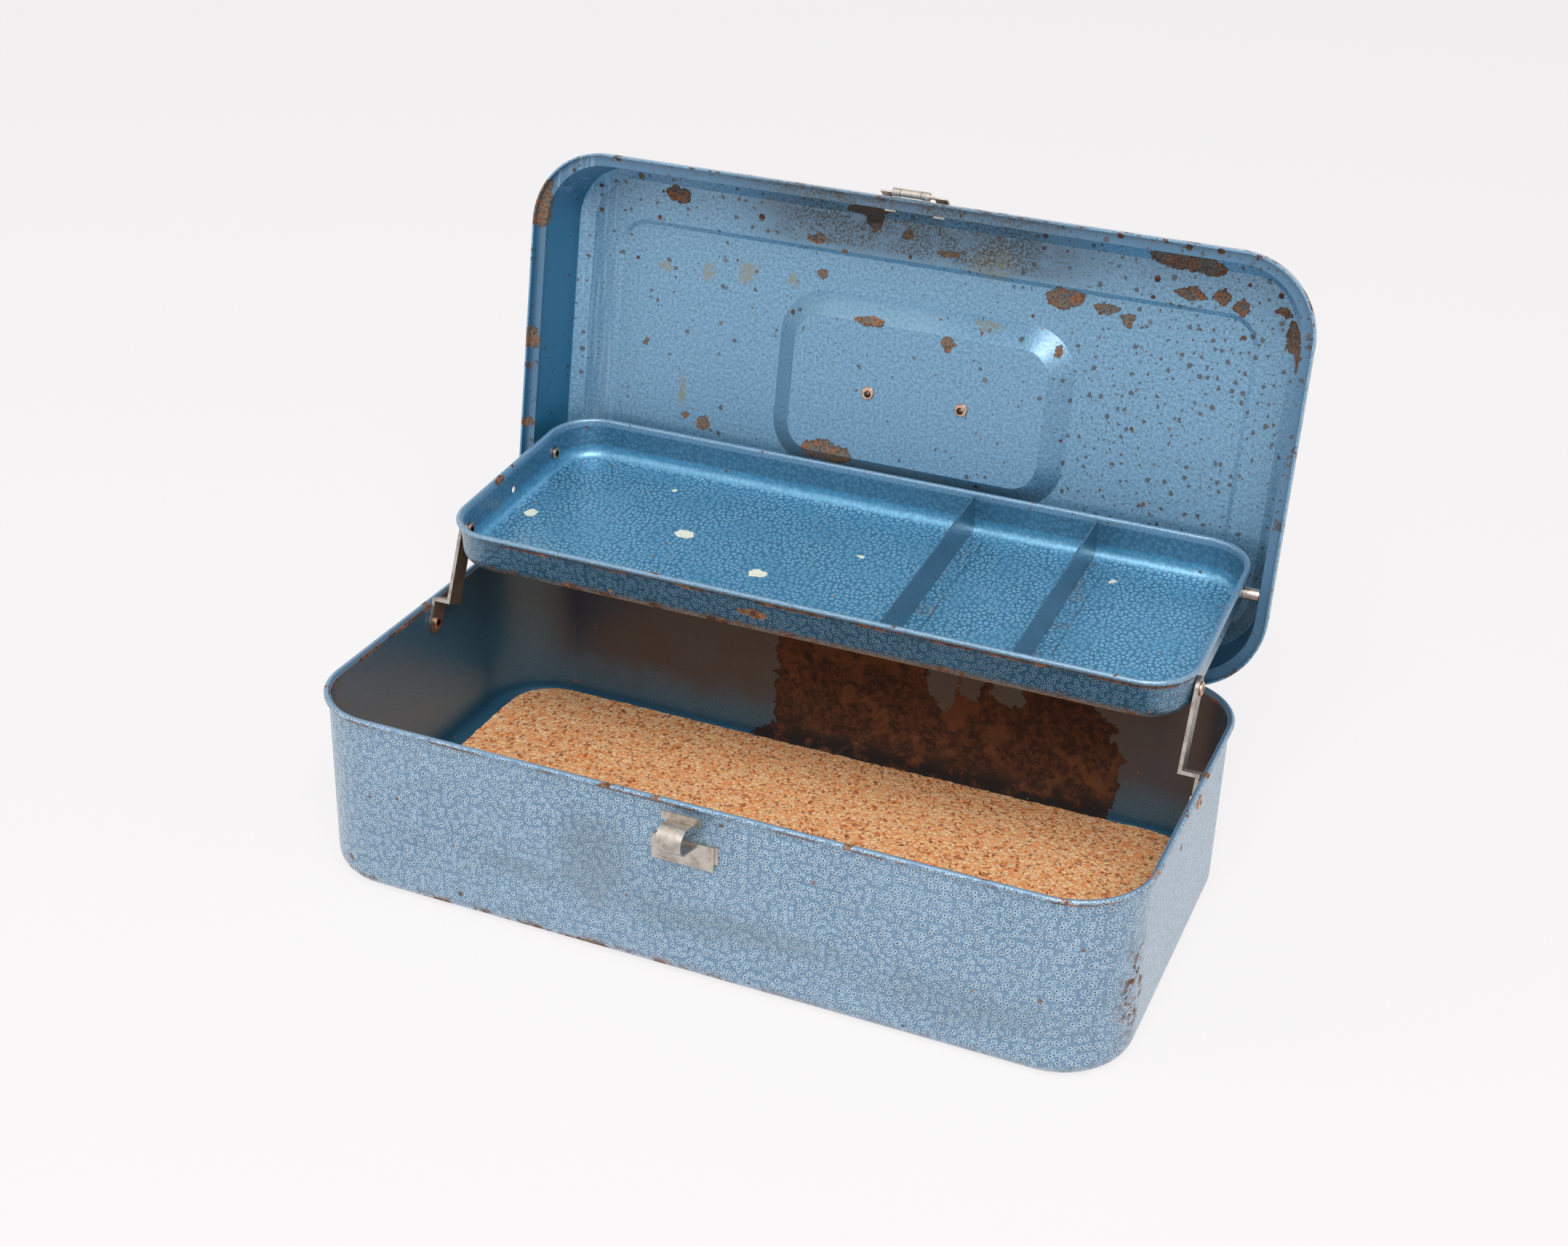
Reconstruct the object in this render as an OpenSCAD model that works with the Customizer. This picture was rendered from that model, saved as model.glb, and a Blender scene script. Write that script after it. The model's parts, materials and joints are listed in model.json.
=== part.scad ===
// Steel toolbox with a lift-up tray.
// Origin: middle of the underside of the base. X runs along the box, -Y is its front, +Z is up.
// The lid is drawn shut in its own frame and then swung open about the rear hinge, and the tray
// hangs level-true between the lid and two links, as a parallelogram.

/* [Sheet metal] */
// Thickness of the pressed sheet
sheet = 0.8; // [0.6:0.1:1]
// Radius of the rolled bead along the rims of base and tray
bead_r = 1.2; // [1:0.1:1.5]

/* [Base] */
// Length of the base over its rolled rim
base_len = 350; // [320:1:380]
// Width of the base over its rolled rim
base_wid = 182; // [176:1:190]
// Height of the base to the top of its rim
base_high = 82; // [78:1:100]
// Corner radius of the base rim, seen from above
base_corner = 33; // [28:1:38]
// Outer radius of the bend between the floor and the walls of the base
base_bend = 8.5; // [5:0.5:9]

/* [Cork mat] */
// Thickness of the cork mat
cork_thick = 5; // [3:0.5:7]
// Gap between the cork mat and the bend of the base
cork_gap = 1.5; // [0.5:0.5:6]

/* [Lid] */
// Angle from shut to the stop
lid_open = 99.5; // [90:0.5:105]
// Side clearance between the base rim and the skirt of the lid
lid_gap = 0.4; // [0.3:0.1:0.6]
// Height by which the skirt hangs over the base rim
skirt_lap = 2.8; // [2:0.1:3]
// Width of the ledge between the skirt and the wall of the lid
ledge_wid = 4.7; // [4:0.1:6]
// Height of the lid from its rim edge to the top
lid_high = 35; // [34:1:45]
// Amount by which the lid wall leans inward from its ledge to its top
lid_lean = 3; // [2:0.5:4]
// Width of the slanted facet between the walls and the top of the lid
lid_facet = 6.5; // [5:0.5:8]
// Height of the slanted facet
lid_facet_high = 4; // [3:0.5:5]
// Outer radius of the bends along both edges of the facet
lid_bend = 2; // [1.5:0.1:2.5]

/* [Lid pressings] */
// Flat border between the raised panel and each end of the lid
panel_end_gap = 27.7; // [26:0.1:36]
// Width of the raised panel on the lid
panel_wid = 122; // [110:1:130]
// Height of the raised panel
panel_rise = 1; // [0.5:0.1:1.5]
// Length of the flat floor of the handle recess
recess_len = 118; // [110:1:130]
// Width of the flat floor of the handle recess
recess_wid = 62; // [58:1:66]
// Depth of the handle recess below the panel
recess_deep = 7.5; // [7:0.5:8]
// Width of the sloped sides of the recess
recess_slope = 10; // [8:1:12]
// Distance of the recess in front of the middle of the lid
recess_front = 1.5; // [1:0.5:4]
// Distance of the recess and the handle to the right of the middle of the lid
recess_right = 3.6; // [0:0.1:5]

/* [Tray] */
// Clearance between the rims of tray and base at each end
tray_end_gap = 10; // [9:0.5:15]
// Width of the tray over its rolled rim
tray_wid = 122; // [118:1:124]
// Depth of the tray over its rim
tray_high = 20; // [19:0.5:21]
// Corner radius of the tray rim, seen from above
tray_corner = 22; // [20:1:22]
// Outer radius of the bend between floor and walls of the tray
tray_bend = 6; // [5:0.2:6]
// Slope of the tray, front edge down
tray_pitch = 4.5; // [0:0.5:5]
// Place of the left divider from the middle of the tray
divider_left_x = 37.5; // [20:1:45]
// Place of the right divider from the middle of the tray
divider_right_x = 93.5; // [80:1:110]
// Depth of the divider tops below the rim
divider_drop = 1.5; // [1:0.5:4]

/* [Linkage] */
// Distance from the hinge to the tray pivot, along the lid rim
crank_reach = 42.3; // [40:0.1:44]
// Depth of the tray pivot behind the rim edge of the lid
crank_deep = 8.8; // [8.6:0.1:9.4]
// Distance between the rear and front pivots of the tray
pivot_span = 78.4; // [74:0.2:78.4]
// Depth of the pivots below the tray rim
pivot_drop = 11.4; // [10.4:0.2:11.6]
// Width of the flat link
link_wid = 10; // [8:0.5:11]
// Thickness of the flat link
link_thick = 1.5; // [1.2:0.1:1.8]
// Distance from the lower pivot to the joggle of the link
joggle_up = 9.5; // [8.5:0.5:11]
// Radius of the rivet shanks
rivet_r = 1.6; // [1.4:0.1:1.8]
// Radius of the rivet heads
rivet_head_r = 2.9; // [2.6:0.1:3.2]
// Outer radius of the spacer tubes at the rear pivots
spacer_r = 2.7; // [2.5:0.1:3]

/* [Hinges] */
// Distance of each hinge from the middle of the box
hinge_x = 100; // [80:1:110]
// Length of each hinge
hinge_len = 46; // [40:1:60]
// Radius of the hinge pins
hinge_pin_r = 1.1; // [1:0.1:1.2]
// Thickness of the hinge leaves
leaf = 1; // [0.8:0.1:1.1]

/* [Hasp and catch] */
// Width of the hasp plate on the lid
hasp_wid = 54; // [50:1:64]
// Width of the hasp flap
flap_wid = 30; // [26:1:40]
// Width of the window in the flap
window_wid = 18.4; // [18:0.2:20]
// Width of the cross bar on top of the catch spring
tee_wid = 16.4; // [14:0.2:17]
// Width of the neck of the catch spring
neck_wid = 10.5; // [8:0.5:12]
// Radius of the nose of the catch spring, to the middle of its strip
nose_r = 5; // [4:0.5:5.5]
// Width of the catch plate
plate_wid = 27.6; // [24:0.2:30]
// Thickness of catch and hasp strip
strip = 0.8; // [0.7:0.1:0.9]
// Radius of the hasp pin
hasp_pin_r = 0.9; // [0.8:0.1:1]

/* [Handle] */
// Width of the bail handle
bail_wid = 96; // [86:1:104]
// Reach of the bail from its pivot to the middle of its grip
bail_reach = 28; // [24:1:30]
// Radius of the bail wire
wire_r = 2.4; // [2:0.1:2.6]
// Distance between the two rivets that hold the handle
handle_rivet_span = 44; // [40:1:50]

/* [Hidden] */
$fn = 64;

// Clearances
seat = 0.15;         // flat faces that slide on each other
run_fit = 0.08;      // shaft in its bore, radial
loose_fit = 0.3;     // the link's upper hole round its rivet, radial
clear = 0.3;         // curved faces of different pieces
lid_rest = 0.2;      // ledge of the lid above the base rim

// Base, worked out
wall_in = 2 * bead_r - sheet / 2;                 // rim edge to outer wall face
base_wall_x = base_len / 2 - wall_in;             // outer face of the end walls
base_wall_y = base_wid / 2 - wall_in;             // outer face of the long walls
base_in_x = base_wall_x - sheet;
base_in_y = base_wall_y - sheet;

// Lid, worked out, in the shut position
lid_len = base_len + 2 * (lid_gap + sheet);
lid_wid = base_wid + 2 * (lid_gap + sheet);
lid_corner = base_corner + lid_gap + sheet;
rim_edge_z = base_high - skirt_lap;
ledge_z = base_high + lid_rest;
lid_top_z = rim_edge_z + lid_high;
lid_wall_high = lid_top_z - ledge_z - sheet;
lid_lean_angle = atan(lid_lean / lid_wall_high);
panel_len = lid_len - 2 * panel_end_gap;
panel_slope = 2;
panel_corner = 14;
recess_corner = 12;

// Hinge, worked out
knuckle_r = hinge_pin_r + 0.05 + leaf;
hinge_y = base_wall_y + clear + knuckle_r;
hinge_z = base_high - 2 * bead_r - knuckle_r;
hinge_gap = 0.3;                                  // between knuckles, along the pin
side_knuckle = 11;                                // length of each base knuckle
lid_knuckle = hinge_len - 2 * (side_knuckle + hinge_gap);

// Linkage, worked out
crank_y = crank_reach;
crank_z = rim_edge_z + crank_deep - hinge_z;
rear_pivot_shut = [hinge_y - crank_y, hinge_z + crank_z];
rear_pivot = [
    hinge_y - crank_y * cos(lid_open) + crank_z * sin(lid_open),
    hinge_z + crank_y * sin(lid_open) + crank_z * cos(lid_open)
];
tray_arm = [pivot_span * cos(tray_pitch), pivot_span * sin(tray_pitch)];
front_pivot = [rear_pivot[0] - tray_arm[0], rear_pivot[1] - tray_arm[1]];
link_foot = [hinge_y - tray_arm[0], hinge_z - tray_arm[1]];
link_long = norm([crank_y, crank_z]);
link_tilt = atan2(front_pivot[1] - link_foot[1], front_pivot[0] - link_foot[0]);

tray_len = base_len - 2 * tray_end_gap;
tray_wall_x = tray_len / 2 - wall_in;
tray_in_x = tray_wall_x - sheet;
tray_in_y = tray_wid / 2 - wall_in - sheet;
head_high = 0.9;
bore_r = 0.9;                                     // hollow of the tubular rivets
// Inner face of the lid wall where the spacers bear on it
lid_wall_at_pivot = lid_len / 2 - ledge_wid - sheet
    - tan(lid_lean_angle) * (rim_edge_z + crank_deep - ledge_z);

// Hasp and catch, worked out; y here is measured outward from the front, as a positive number
hasp_knuckle_r = hasp_pin_r + 0.05 + strip;
hasp_y = lid_wid / 2 + clear + hasp_knuckle_r;
hasp_z = ledge_z + sheet + 0.4;
flap_back = 213;                                  // turn from hanging to lying back
catch_z = base_high - 17.9;                       // root of the catch spring
plate_high = 11;
plate_top = catch_z + 1.3;
catch_root_y = base_wall_y + 2 * strip + seat;
nose = [9.1, 7.4];                                // middle of the nose, out from and above the root
knee = [2.6, 11];                                 // foot of the cross bar, out from and above the root
tee_high = 3.6;
tee_z = catch_z + knee[1];
window_low = tee_z - 0.7;
window_top = tee_z + tee_high + 0.7;
flap_bar = 4.8;                                   // height of the flap below its window
hasp_tab_x = 11;
hasp_tab_up = 8;                                  // height of the tabs above the ledge
ear_wid = 3.5;
flap_knuckle = 9;

// Handle, worked out
recess_z = lid_top_z + panel_rise - recess_deep;  // outside face of the recess floor
bail_y = -8.7;
bail_hang = lid_open - 90;                        // the bail hangs straight down off the open lid
bail_z = recess_z + wire_r + 0.5;
saddle_thick = 1;
saddle_wid = 12;
handle_rivet_y = -1.2;

// ---------- shared shapes ----------

// Rectangle with round corners, about the origin
module round_rect(len, wid, r) {
    square([len, wid - 2 * r], center = true);
    square([len - 2 * r, wid], center = true);
    for (sx = [-1, 1], sy = [-1, 1])
        translate([sx * (len / 2 - r), sy * (wid / 2 - r)]) circle(r);
}

// Runs a wall profile round a rectangle with round corners. The profile has x = 0 on the outline
// and negative x inside it, and its y is height.
module run_round(len, wid, r) {
    corners = [[1, 1], [-1, 1], [-1, -1], [1, -1]];
    for (k = [0:3])
        translate([corners[k][0] * (len / 2 - r), corners[k][1] * (wid / 2 - r), 0])
            rotate([0, 0, 90 * k])
                rotate_extrude(angle = 90, $fn = 96)
                    translate([r, 0]) children();
    for (k = [0:3]) {
        along = k % 2 == 0 ? wid : len;
        across = k % 2 == 0 ? len : wid;
        rotate([0, 0, 90 * k])
            translate([across / 2, 0, 0])
                rotate([90, 0, 0])
                    linear_extrude(along - 2 * r, center = true) children();
    }
}

// Part of a ring of sheet between two angles, about a centre
module bend(centre, r, thick, from, to) {
    translate(centre)
        intersection() {
            difference() {
                circle(r);
                circle(r - thick);
            }
            middle = (from + to) / 2;
            polygon([
                [0, 0],
                2 * r * [cos(from), sin(from)],
                2 * r * [cos(middle), sin(middle)],
                2 * r * [cos(to), sin(to)]
            ]);
        }
}

// Profile of a pan drawn from one sheet, with a bead rolled outward along its rim
module pan_profile(high, bend_r) {
    translate([-bead_r, high - bead_r]) circle(bead_r);
    translate([-wall_in - sheet, bend_r]) square([sheet, high - bead_r - bend_r]);
    bend([-wall_in - bend_r, bend_r], bend_r, sheet, 270, 360);
}

// Pan with round corners, open upward
module pan(len, wid, high, corner, bend_r) {
    run_round(len, wid, corner) pan_profile(high, bend_r);
    inset = wall_in + bend_r;
    linear_extrude(sheet)
        round_rect(len - 2 * inset, wid - 2 * inset, corner - inset);
}

// Solid cylinder along X from x0 to x1
module rod_x(x0, x1, r) {
    translate([x0, 0, 0]) rotate([0, 90, 0]) cylinder(h = x1 - x0, r = r);
}

// Tubular rivet along X: shank between x0 and x1, with a head outside each end
module tubular_rivet(x0, x1) {
    edge = 0.3;
    rotate([0, 90, 0])
        rotate_extrude()
            polygon([
                [bore_r, x0 - head_high], [rivet_head_r - edge, x0 - head_high],
                [rivet_head_r, x0 - head_high + edge], [rivet_head_r, x0],
                [rivet_r, x0], [rivet_r, x1],
                [rivet_head_r, x1], [rivet_head_r, x1 + head_high - edge],
                [rivet_head_r - edge, x1 + head_high], [bore_r, x1 + head_high]
            ]);
}

// Moves a piece that is drawn on the shut lid to its place on the open lid
module on_open_lid() {
    translate([0, hinge_y, hinge_z])
        rotate([-lid_open, 0, 0])
            translate([0, -hinge_y, -hinge_z]) children();
}

// Moves a piece drawn in the tray's frame to its place. The frame's origin is the middle of the
// line between the pivots, with z up from the pivots.
module on_tray() {
    translate([0, rear_pivot[0], rear_pivot[1]])
        rotate([tray_pitch, 0, 0])
            translate([0, -pivot_span / 2, 0]) children();
}

// ---------- base ----------

module base_shell() {
    color("steelblue")
        difference() {
            pan(base_len, base_wid, base_high, base_corner, base_bend);
            for (side = [-1, 1])
                translate([side * base_wall_x, link_foot[0], link_foot[1]])
                    rod_x(-3, 3, rivet_r + 0.05);
            for (side = [-1, 1])
                translate([side * tab_x, -base_wall_y, tab_z])
                    cube([tab_wid + 0.4, 4, strip + 0.4], center = true);
        }
}
tab_x = 8.5;
tab_wid = 5;
tab_z = plate_top - 2;

module cork_mat() {
    inset = base_bend - sheet + cork_gap;
    color("peru")
        translate([0, 0, sheet])
            linear_extrude(cork_thick)
                round_rect(2 * (base_in_x - inset), 2 * (base_in_y - inset),
                    base_corner - wall_in - sheet - inset);
}

// Plate behind the catch spring, folded double and held by two tabs through the front wall
module catch_plate() {
    front_wid = plate_wid - 1.4;
    tab_through = sheet + 0.6;
    tab_fold = 3;
    color("silver")
        translate([0, -base_wall_y, 0]) {
            translate([-plate_wid / 2, -strip, plate_top - 0.7 * plate_high])
                cube([plate_wid, strip, 0.7 * plate_high]);
            translate([-plate_wid / 2, -2 * strip, plate_top - plate_high])
                cube([front_wid, strip, plate_high]);
            for (side = [-1, 1]) {
                translate([side * tab_x - tab_wid / 2, 0, tab_z - strip / 2])
                    cube([tab_wid, tab_through, strip]);
                translate([side * tab_x - tab_wid / 2, sheet, tab_z - strip / 2 - tab_fold])
                    cube([tab_wid, tab_through - sheet, tab_fold + strip]);
            }
        }
}

// Straight piece of strip in side view, between two points of its middle line
module straight(from, to) {
    along = (to - from) / norm(to - from);
    across = strip / 2 * [-along[1], along[0]];
    polygon([from - across, to - across, to + across, from + across]);
}

// Side view of the catch spring: out from the plate, round its nose and back to the cross bar
module spring_profile() {
    low_dir = atan2(nose[1], nose[0]) - asin(nose_r / norm(nose));
    top_dir = atan2(nose[1] - knee[1], nose[0] - knee[0]) + asin(nose_r / norm(nose - knee));
    straight([0, 0], nose + nose_r * [cos(low_dir - 90), sin(low_dir - 90)]);
    bend(nose, nose_r + strip / 2, strip, low_dir - 90, top_dir + 90);
    straight(knee, nose + nose_r * [cos(top_dir + 90), sin(top_dir + 90)]);
    translate(knee) circle(strip / 2, $fn = 24);
}

// Catch spring: a strip that loops out of the plate and ends in a cross bar
module catch_spring() {
    color("silver")
        translate([0, -catch_root_y, catch_z]) {
            rotate([90, 0, -90])
                linear_extrude(neck_wid, center = true) spring_profile();
            translate([-tee_wid / 2, -knee[0] - strip / 2, knee[1]])
                cube([tee_wid, strip, tee_high]);
        }
}

// ---------- rear hinges ----------

// Ring of sheet round the hinge pin, along X
module knuckle(x0, x1) {
    difference() {
        rod_x(x0, x1, knuckle_r);
        rod_x(x0 - 1, x1 + 1, hinge_pin_r + 0.05);
    }
}

module hinge_base_leaf(side) {
    leaf_high = 17;
    low_top = knuckle_r + hinge_gap;
    color("steelblue")
        translate([side * hinge_x, 0, 0])
            difference() {
                union() {
                    translate([-hinge_len / 2, base_wall_y, hinge_z - leaf_high])
                        cube([hinge_len, leaf, leaf_high]);
                    for (end = [-1, 1])
                        translate([end * (hinge_len - side_knuckle) / 2, hinge_y, hinge_z])
                            rod_x(-side_knuckle / 2, side_knuckle / 2, knuckle_r);
                }
                translate([-lid_knuckle / 2 - hinge_gap, base_wall_y - 1, hinge_z - low_top])
                    cube([lid_knuckle + 2 * hinge_gap, 8, low_top + 5]);
                translate([0, hinge_y, hinge_z])
                    rod_x(-hinge_len, hinge_len, hinge_pin_r + 0.05);
            }
}
module hinge_base_leaf_left() { hinge_base_leaf(-1); }
module hinge_base_leaf_right() { hinge_base_leaf(1); }

module hinge_pins() {
    color("silver")
        for (side = [-1, 1])
            translate([side * hinge_x, hinge_y, hinge_z])
                rod_x(-hinge_len / 2 - 0.8, hinge_len / 2 + 0.8, hinge_pin_r);
}

// Lid leaf: up from the knuckle behind the skirt, in over the ledge, and up the leaning wall
module hinge_lid_leaf(side) {
    out_y = hinge_y + knuckle_r;
    over_z = ledge_z + sheet;
    wall_y = lid_wid / 2 - ledge_wid;
    up = 14;
    lean = up * tan(lid_lean_angle);
    color("steelblue")
        on_open_lid()
            translate([side * hinge_x, 0, 0])
                difference() {
                    union() {
                        translate([0, hinge_y, hinge_z])
                            rod_x(-lid_knuckle / 2, lid_knuckle / 2, knuckle_r);
                        rotate([90, 0, 90])
                            linear_extrude(lid_knuckle, center = true)
                                polygon([
                                    [out_y - leaf, hinge_z], [out_y, hinge_z],
                                    [out_y, over_z + leaf],
                                    [wall_y + leaf, over_z + leaf],
                                    [wall_y + leaf - lean, over_z + up],
                                    [wall_y - lean, over_z + up],
                                    [wall_y, over_z], [out_y - leaf, over_z]
                                ]);
                    }
                    translate([0, hinge_y, hinge_z])
                        rod_x(-hinge_len, hinge_len, hinge_pin_r + 0.05);
                }
}
module hinge_lid_leaf_left() { hinge_lid_leaf(-1); }
module hinge_lid_leaf_right() { hinge_lid_leaf(1); }

// ---------- lid ----------

// Lid profile, worked out: the corners of its outer line, and the middles of the bends there
facet_low = [
    -ledge_wid - tan(lid_lean_angle) * (lid_top_z - lid_facet_high - ledge_z - sheet),
    lid_top_z - lid_facet_high
];
facet_top = [facet_low[0] - lid_facet, lid_top_z];
facet_angle = atan2(lid_facet, lid_facet_high);
function outward(angle) = [cos(angle), sin(angle)];
function bend_middle(corner, from, to) =
    corner - lid_bend / cos((to - from) / 2) * outward((from + to) / 2);
facet_low_bend = bend_middle(facet_low, lid_lean_angle, facet_angle);
facet_top_bend = bend_middle(facet_top, facet_angle, 90);
lid_bend_in = -facet_top_bend[0];

// Profile of the lid: skirt, ledge, leaning wall and facet; y is height in the shut position
module lid_profile() {
    root = -ledge_wid;
    wall = outward(lid_lean_angle);
    slant = outward(facet_angle);
    meet = facet_low_bend + lid_bend * wall;
    translate([-sheet, rim_edge_z]) square([sheet, ledge_z + sheet - rim_edge_z]);
    translate([root - sheet, ledge_z]) square([ledge_wid + sheet, sheet]);
    polygon([
        [root - sheet, ledge_z], [root, ledge_z], [root, ledge_z + sheet],
        meet, meet - sheet * wall, [root - sheet, ledge_z + sheet]
    ]);
    bend(facet_low_bend, lid_bend, sheet, lid_lean_angle, facet_angle);
    polygon([
        facet_low_bend + lid_bend * slant, facet_top_bend + lid_bend * slant,
        facet_top_bend + (lid_bend - sheet) * slant, facet_low_bend + (lid_bend - sheet) * slant
    ]);
    bend(facet_top_bend, lid_bend, sheet, facet_angle, 90);
}

// Band of sheet that slopes from one flat down or up to the next
module slope_profile(run, z0, z1) {
    polygon([[0, z0 - sheet], [0, z0], [-run, z1], [-run, z1 - sheet]]);
}

module lid_shell() {
    panel_z = lid_top_z + panel_rise;
    recess_out = 2 * recess_slope;
    color("steelblue")
        on_open_lid()
            difference() {
                union() {
                    run_round(lid_len, lid_wid, lid_corner) lid_profile();
                    translate([0, 0, lid_top_z - sheet])
                        linear_extrude(sheet)
                            difference() {
                                round_rect(lid_len - 2 * lid_bend_in, lid_wid - 2 * lid_bend_in,
                                    lid_corner - lid_bend_in);
                                round_rect(panel_len, panel_wid, panel_corner);
                            }
                    run_round(panel_len, panel_wid, panel_corner)
                        slope_profile(panel_slope, lid_top_z, panel_z);
                    translate([0, 0, panel_z - sheet])
                        linear_extrude(sheet)
                            difference() {
                                round_rect(panel_len - 2 * panel_slope,
                                    panel_wid - 2 * panel_slope, panel_corner - panel_slope);
                                translate([recess_right, -recess_front])
                                    round_rect(recess_len + recess_out, recess_wid + recess_out,
                                        recess_corner + recess_slope);
                            }
                    translate([recess_right, -recess_front, 0])
                        run_round(recess_len + recess_out, recess_wid + recess_out,
                            recess_corner + recess_slope)
                            slope_profile(recess_slope, panel_z, recess_z);
                    translate([recess_right, -recess_front, recess_z - sheet])
                        linear_extrude(sheet) round_rect(recess_len, recess_wid, recess_corner);
                }
                // notches in the rear skirt for the hinge knuckles
                for (side = [-1, 1])
                    translate([side * hinge_x - hinge_len / 2 - 1.5, lid_wid / 2 - 3, rim_edge_z - 1])
                        cube([hinge_len + 3, 5, 1 + skirt_lap]);
                // holes for the rear tray pivots
                for (side = [-1, 1])
                    translate([side * (lid_wall_at_pivot + sheet / 2), rear_pivot_shut[0],
                        rear_pivot_shut[1]])
                        rod_x(-3, 3, rivet_r + 0.05);
                // holes for the handle rivets
                for (side = [-1, 1])
                    translate([recess_right + side * handle_rivet_span / 2, handle_rivet_y, recess_z - 3])
                        cylinder(h = 6, r = rivet_r + 0.05);
                // slots for the tabs of the hasp plate
                for (side = [-1, 1])
                    translate([side * hasp_tab_x, -lid_wid / 2 + ledge_wid + 0.8, hasp_tab_z])
                        cube([tab_wid + 0.4, 5, strip + 0.4], center = true);
            }
}
hasp_tab_z = ledge_z + hasp_tab_up;

// ---------- hasp ----------

// Hasp plate on the front wall of the lid, with two ears that hold the pin
module hasp_plate() {
    over_z = ledge_z + sheet;
    wall_y = lid_wid / 2 - ledge_wid;
    up = 11;
    lean = tan(lid_lean_angle);
    color("silver")
        on_open_lid()
            rotate([0, 0, 180])
                difference() {
                    union() {
                        rotate([90, 0, 90])
                            linear_extrude(hasp_wid, center = true)
                                polygon([
                                    [wall_y, over_z], [wall_y + 2.4, over_z],
                                    [wall_y + 2.4, over_z + strip],
                                    [wall_y + strip, over_z + strip],
                                    [wall_y + strip - lean * up, over_z + up],
                                    [wall_y - lean * up, over_z + up]
                                ]);
                        for (side = [-1, 1])
                            translate([side * (flap_knuckle + ear_wid + 0.6) / 2, 0, 0]) {
                                translate([-ear_wid / 2, wall_y + 1, over_z])
                                    cube([ear_wid, hasp_y - wall_y - 1, strip]);
                                translate([0, hasp_y, hasp_z])
                                    rod_x(-ear_wid / 2, ear_wid / 2, hasp_knuckle_r);
                            }
                        for (side = [-1, 1])
                            translate([side * hasp_tab_x, wall_y, hasp_tab_z]) {
                                translate([-tab_wid / 2, -sheet - 1.6, -strip / 2])
                                    cube([tab_wid, sheet + 1.6, strip]);
                                translate([-tab_wid / 2, -sheet - 1.9, -strip / 2])
                                    cube([tab_wid, 0.6, 3]);
                            }
                    }
                    translate([0, hasp_y, hasp_z])
                        rod_x(-20, 20, hasp_pin_r + 0.02);
                }
}

module hasp_pin() {
    long = flap_knuckle + 2 * ear_wid + 1.4;
    color("silver")
        on_open_lid()
            translate([0, -hasp_y, hasp_z])
                rod_x(-long / 2, long / 2, hasp_pin_r);
}

// Hasp flap: hangs behind the cross bar when shut, with the bar in its window. Here it lies back.
module hasp_flap() {
    inner_y = lid_wid / 2 + 0.4;
    low_z = window_low - flap_bar;
    neck_low = rim_edge_z + 1.4;
    color("silver")
        on_open_lid()
            translate([0, -hasp_y, hasp_z])
                rotate([-flap_back, 0, 0])
                    translate([0, hasp_y, -hasp_z])
                        difference() {
                            union() {
                                translate([-flap_wid / 2, -inner_y - strip, low_z])
                                    cube([flap_wid, strip, neck_low - low_z]);
                                translate([-flap_knuckle / 2, -inner_y - strip, low_z])
                                    cube([flap_knuckle, strip, hasp_z - low_z]);
                                translate([0, -hasp_y, hasp_z])
                                    rod_x(-flap_knuckle / 2, flap_knuckle / 2, hasp_knuckle_r);
                            }
                            translate([-window_wid / 2, -hasp_y - 3, window_low])
                                cube([window_wid, 6, window_top - window_low]);
                            translate([0, -hasp_y, hasp_z])
                                rod_x(-flap_wid, flap_wid, hasp_pin_r + 0.05);
                        }
}

// ---------- handle ----------

// Bail bent from wire, with its ends turned in along the pivot line
module handle_bail() {
    r = 9;
    half = bail_wid / 2;
    inner = handle_rivet_span / 2 - saddle_wid / 2 - 1;
    small = 4;
    color("silver")
        on_open_lid()
            translate([recess_right, bail_y, bail_z])
                rotate([bail_hang, 0, 0]) {
                    translate([0, bail_reach, 0]) rod_x(-half + r, half - r, wire_r);
                    for (side = [-1, 1])
                        mirror([side < 0 ? 1 : 0, 0, 0]) {
                            translate([half - r, bail_reach - r, 0])
                                rotate_extrude(angle = 90) translate([r, 0]) circle(wire_r);
                            translate([half, small, 0])
                                rotate([-90, 0, 0])
                                    cylinder(h = bail_reach - r - small, r = wire_r);
                            translate([half - small, small, 0])
                                rotate([0, 0, -90])
                                    rotate_extrude(angle = 90) translate([small, 0]) circle(wire_r);
                            rod_x(inner, half - small, wire_r);
                        }
                }
}

// Saddles: straps bent over the ends of the bail, each with one riveted foot
module handle_saddles() {
    ring_r = wire_r + run_fit;
    foot_y = handle_rivet_y + 5.5;
    below = 2 * ring_r + saddle_thick;
    color("silver")
        on_open_lid()
            for (side = [-1, 1])
                translate([recess_right + side * handle_rivet_span / 2, 0, 0])
                    difference() {
                        union() {
                            translate([0, bail_y, bail_z])
                                rod_x(-saddle_wid / 2, saddle_wid / 2, ring_r + saddle_thick);
                            translate([-saddle_wid / 2, bail_y, recess_z])
                                cube([saddle_wid, foot_y - bail_y, saddle_thick]);
                            translate([-saddle_wid / 2, bail_y - ring_r - saddle_thick, recess_z])
                                cube([saddle_wid, saddle_thick, bail_z - recess_z]);
                            translate([-saddle_wid / 2, bail_y + ring_r, recess_z])
                                cube([saddle_wid, saddle_thick, bail_z - recess_z]);
                        }
                        translate([0, bail_y, bail_z])
                            rod_x(-saddle_wid, saddle_wid, ring_r);
                        // nothing below the floor of the recess
                        translate([-saddle_wid, bail_y - below, recess_z - below])
                            cube([2 * saddle_wid, foot_y - bail_y + 2 * below, below]);
                        translate([0, handle_rivet_y, recess_z - 1])
                            cylinder(h = 4, r = rivet_r + 0.05);
                    }
}

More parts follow.
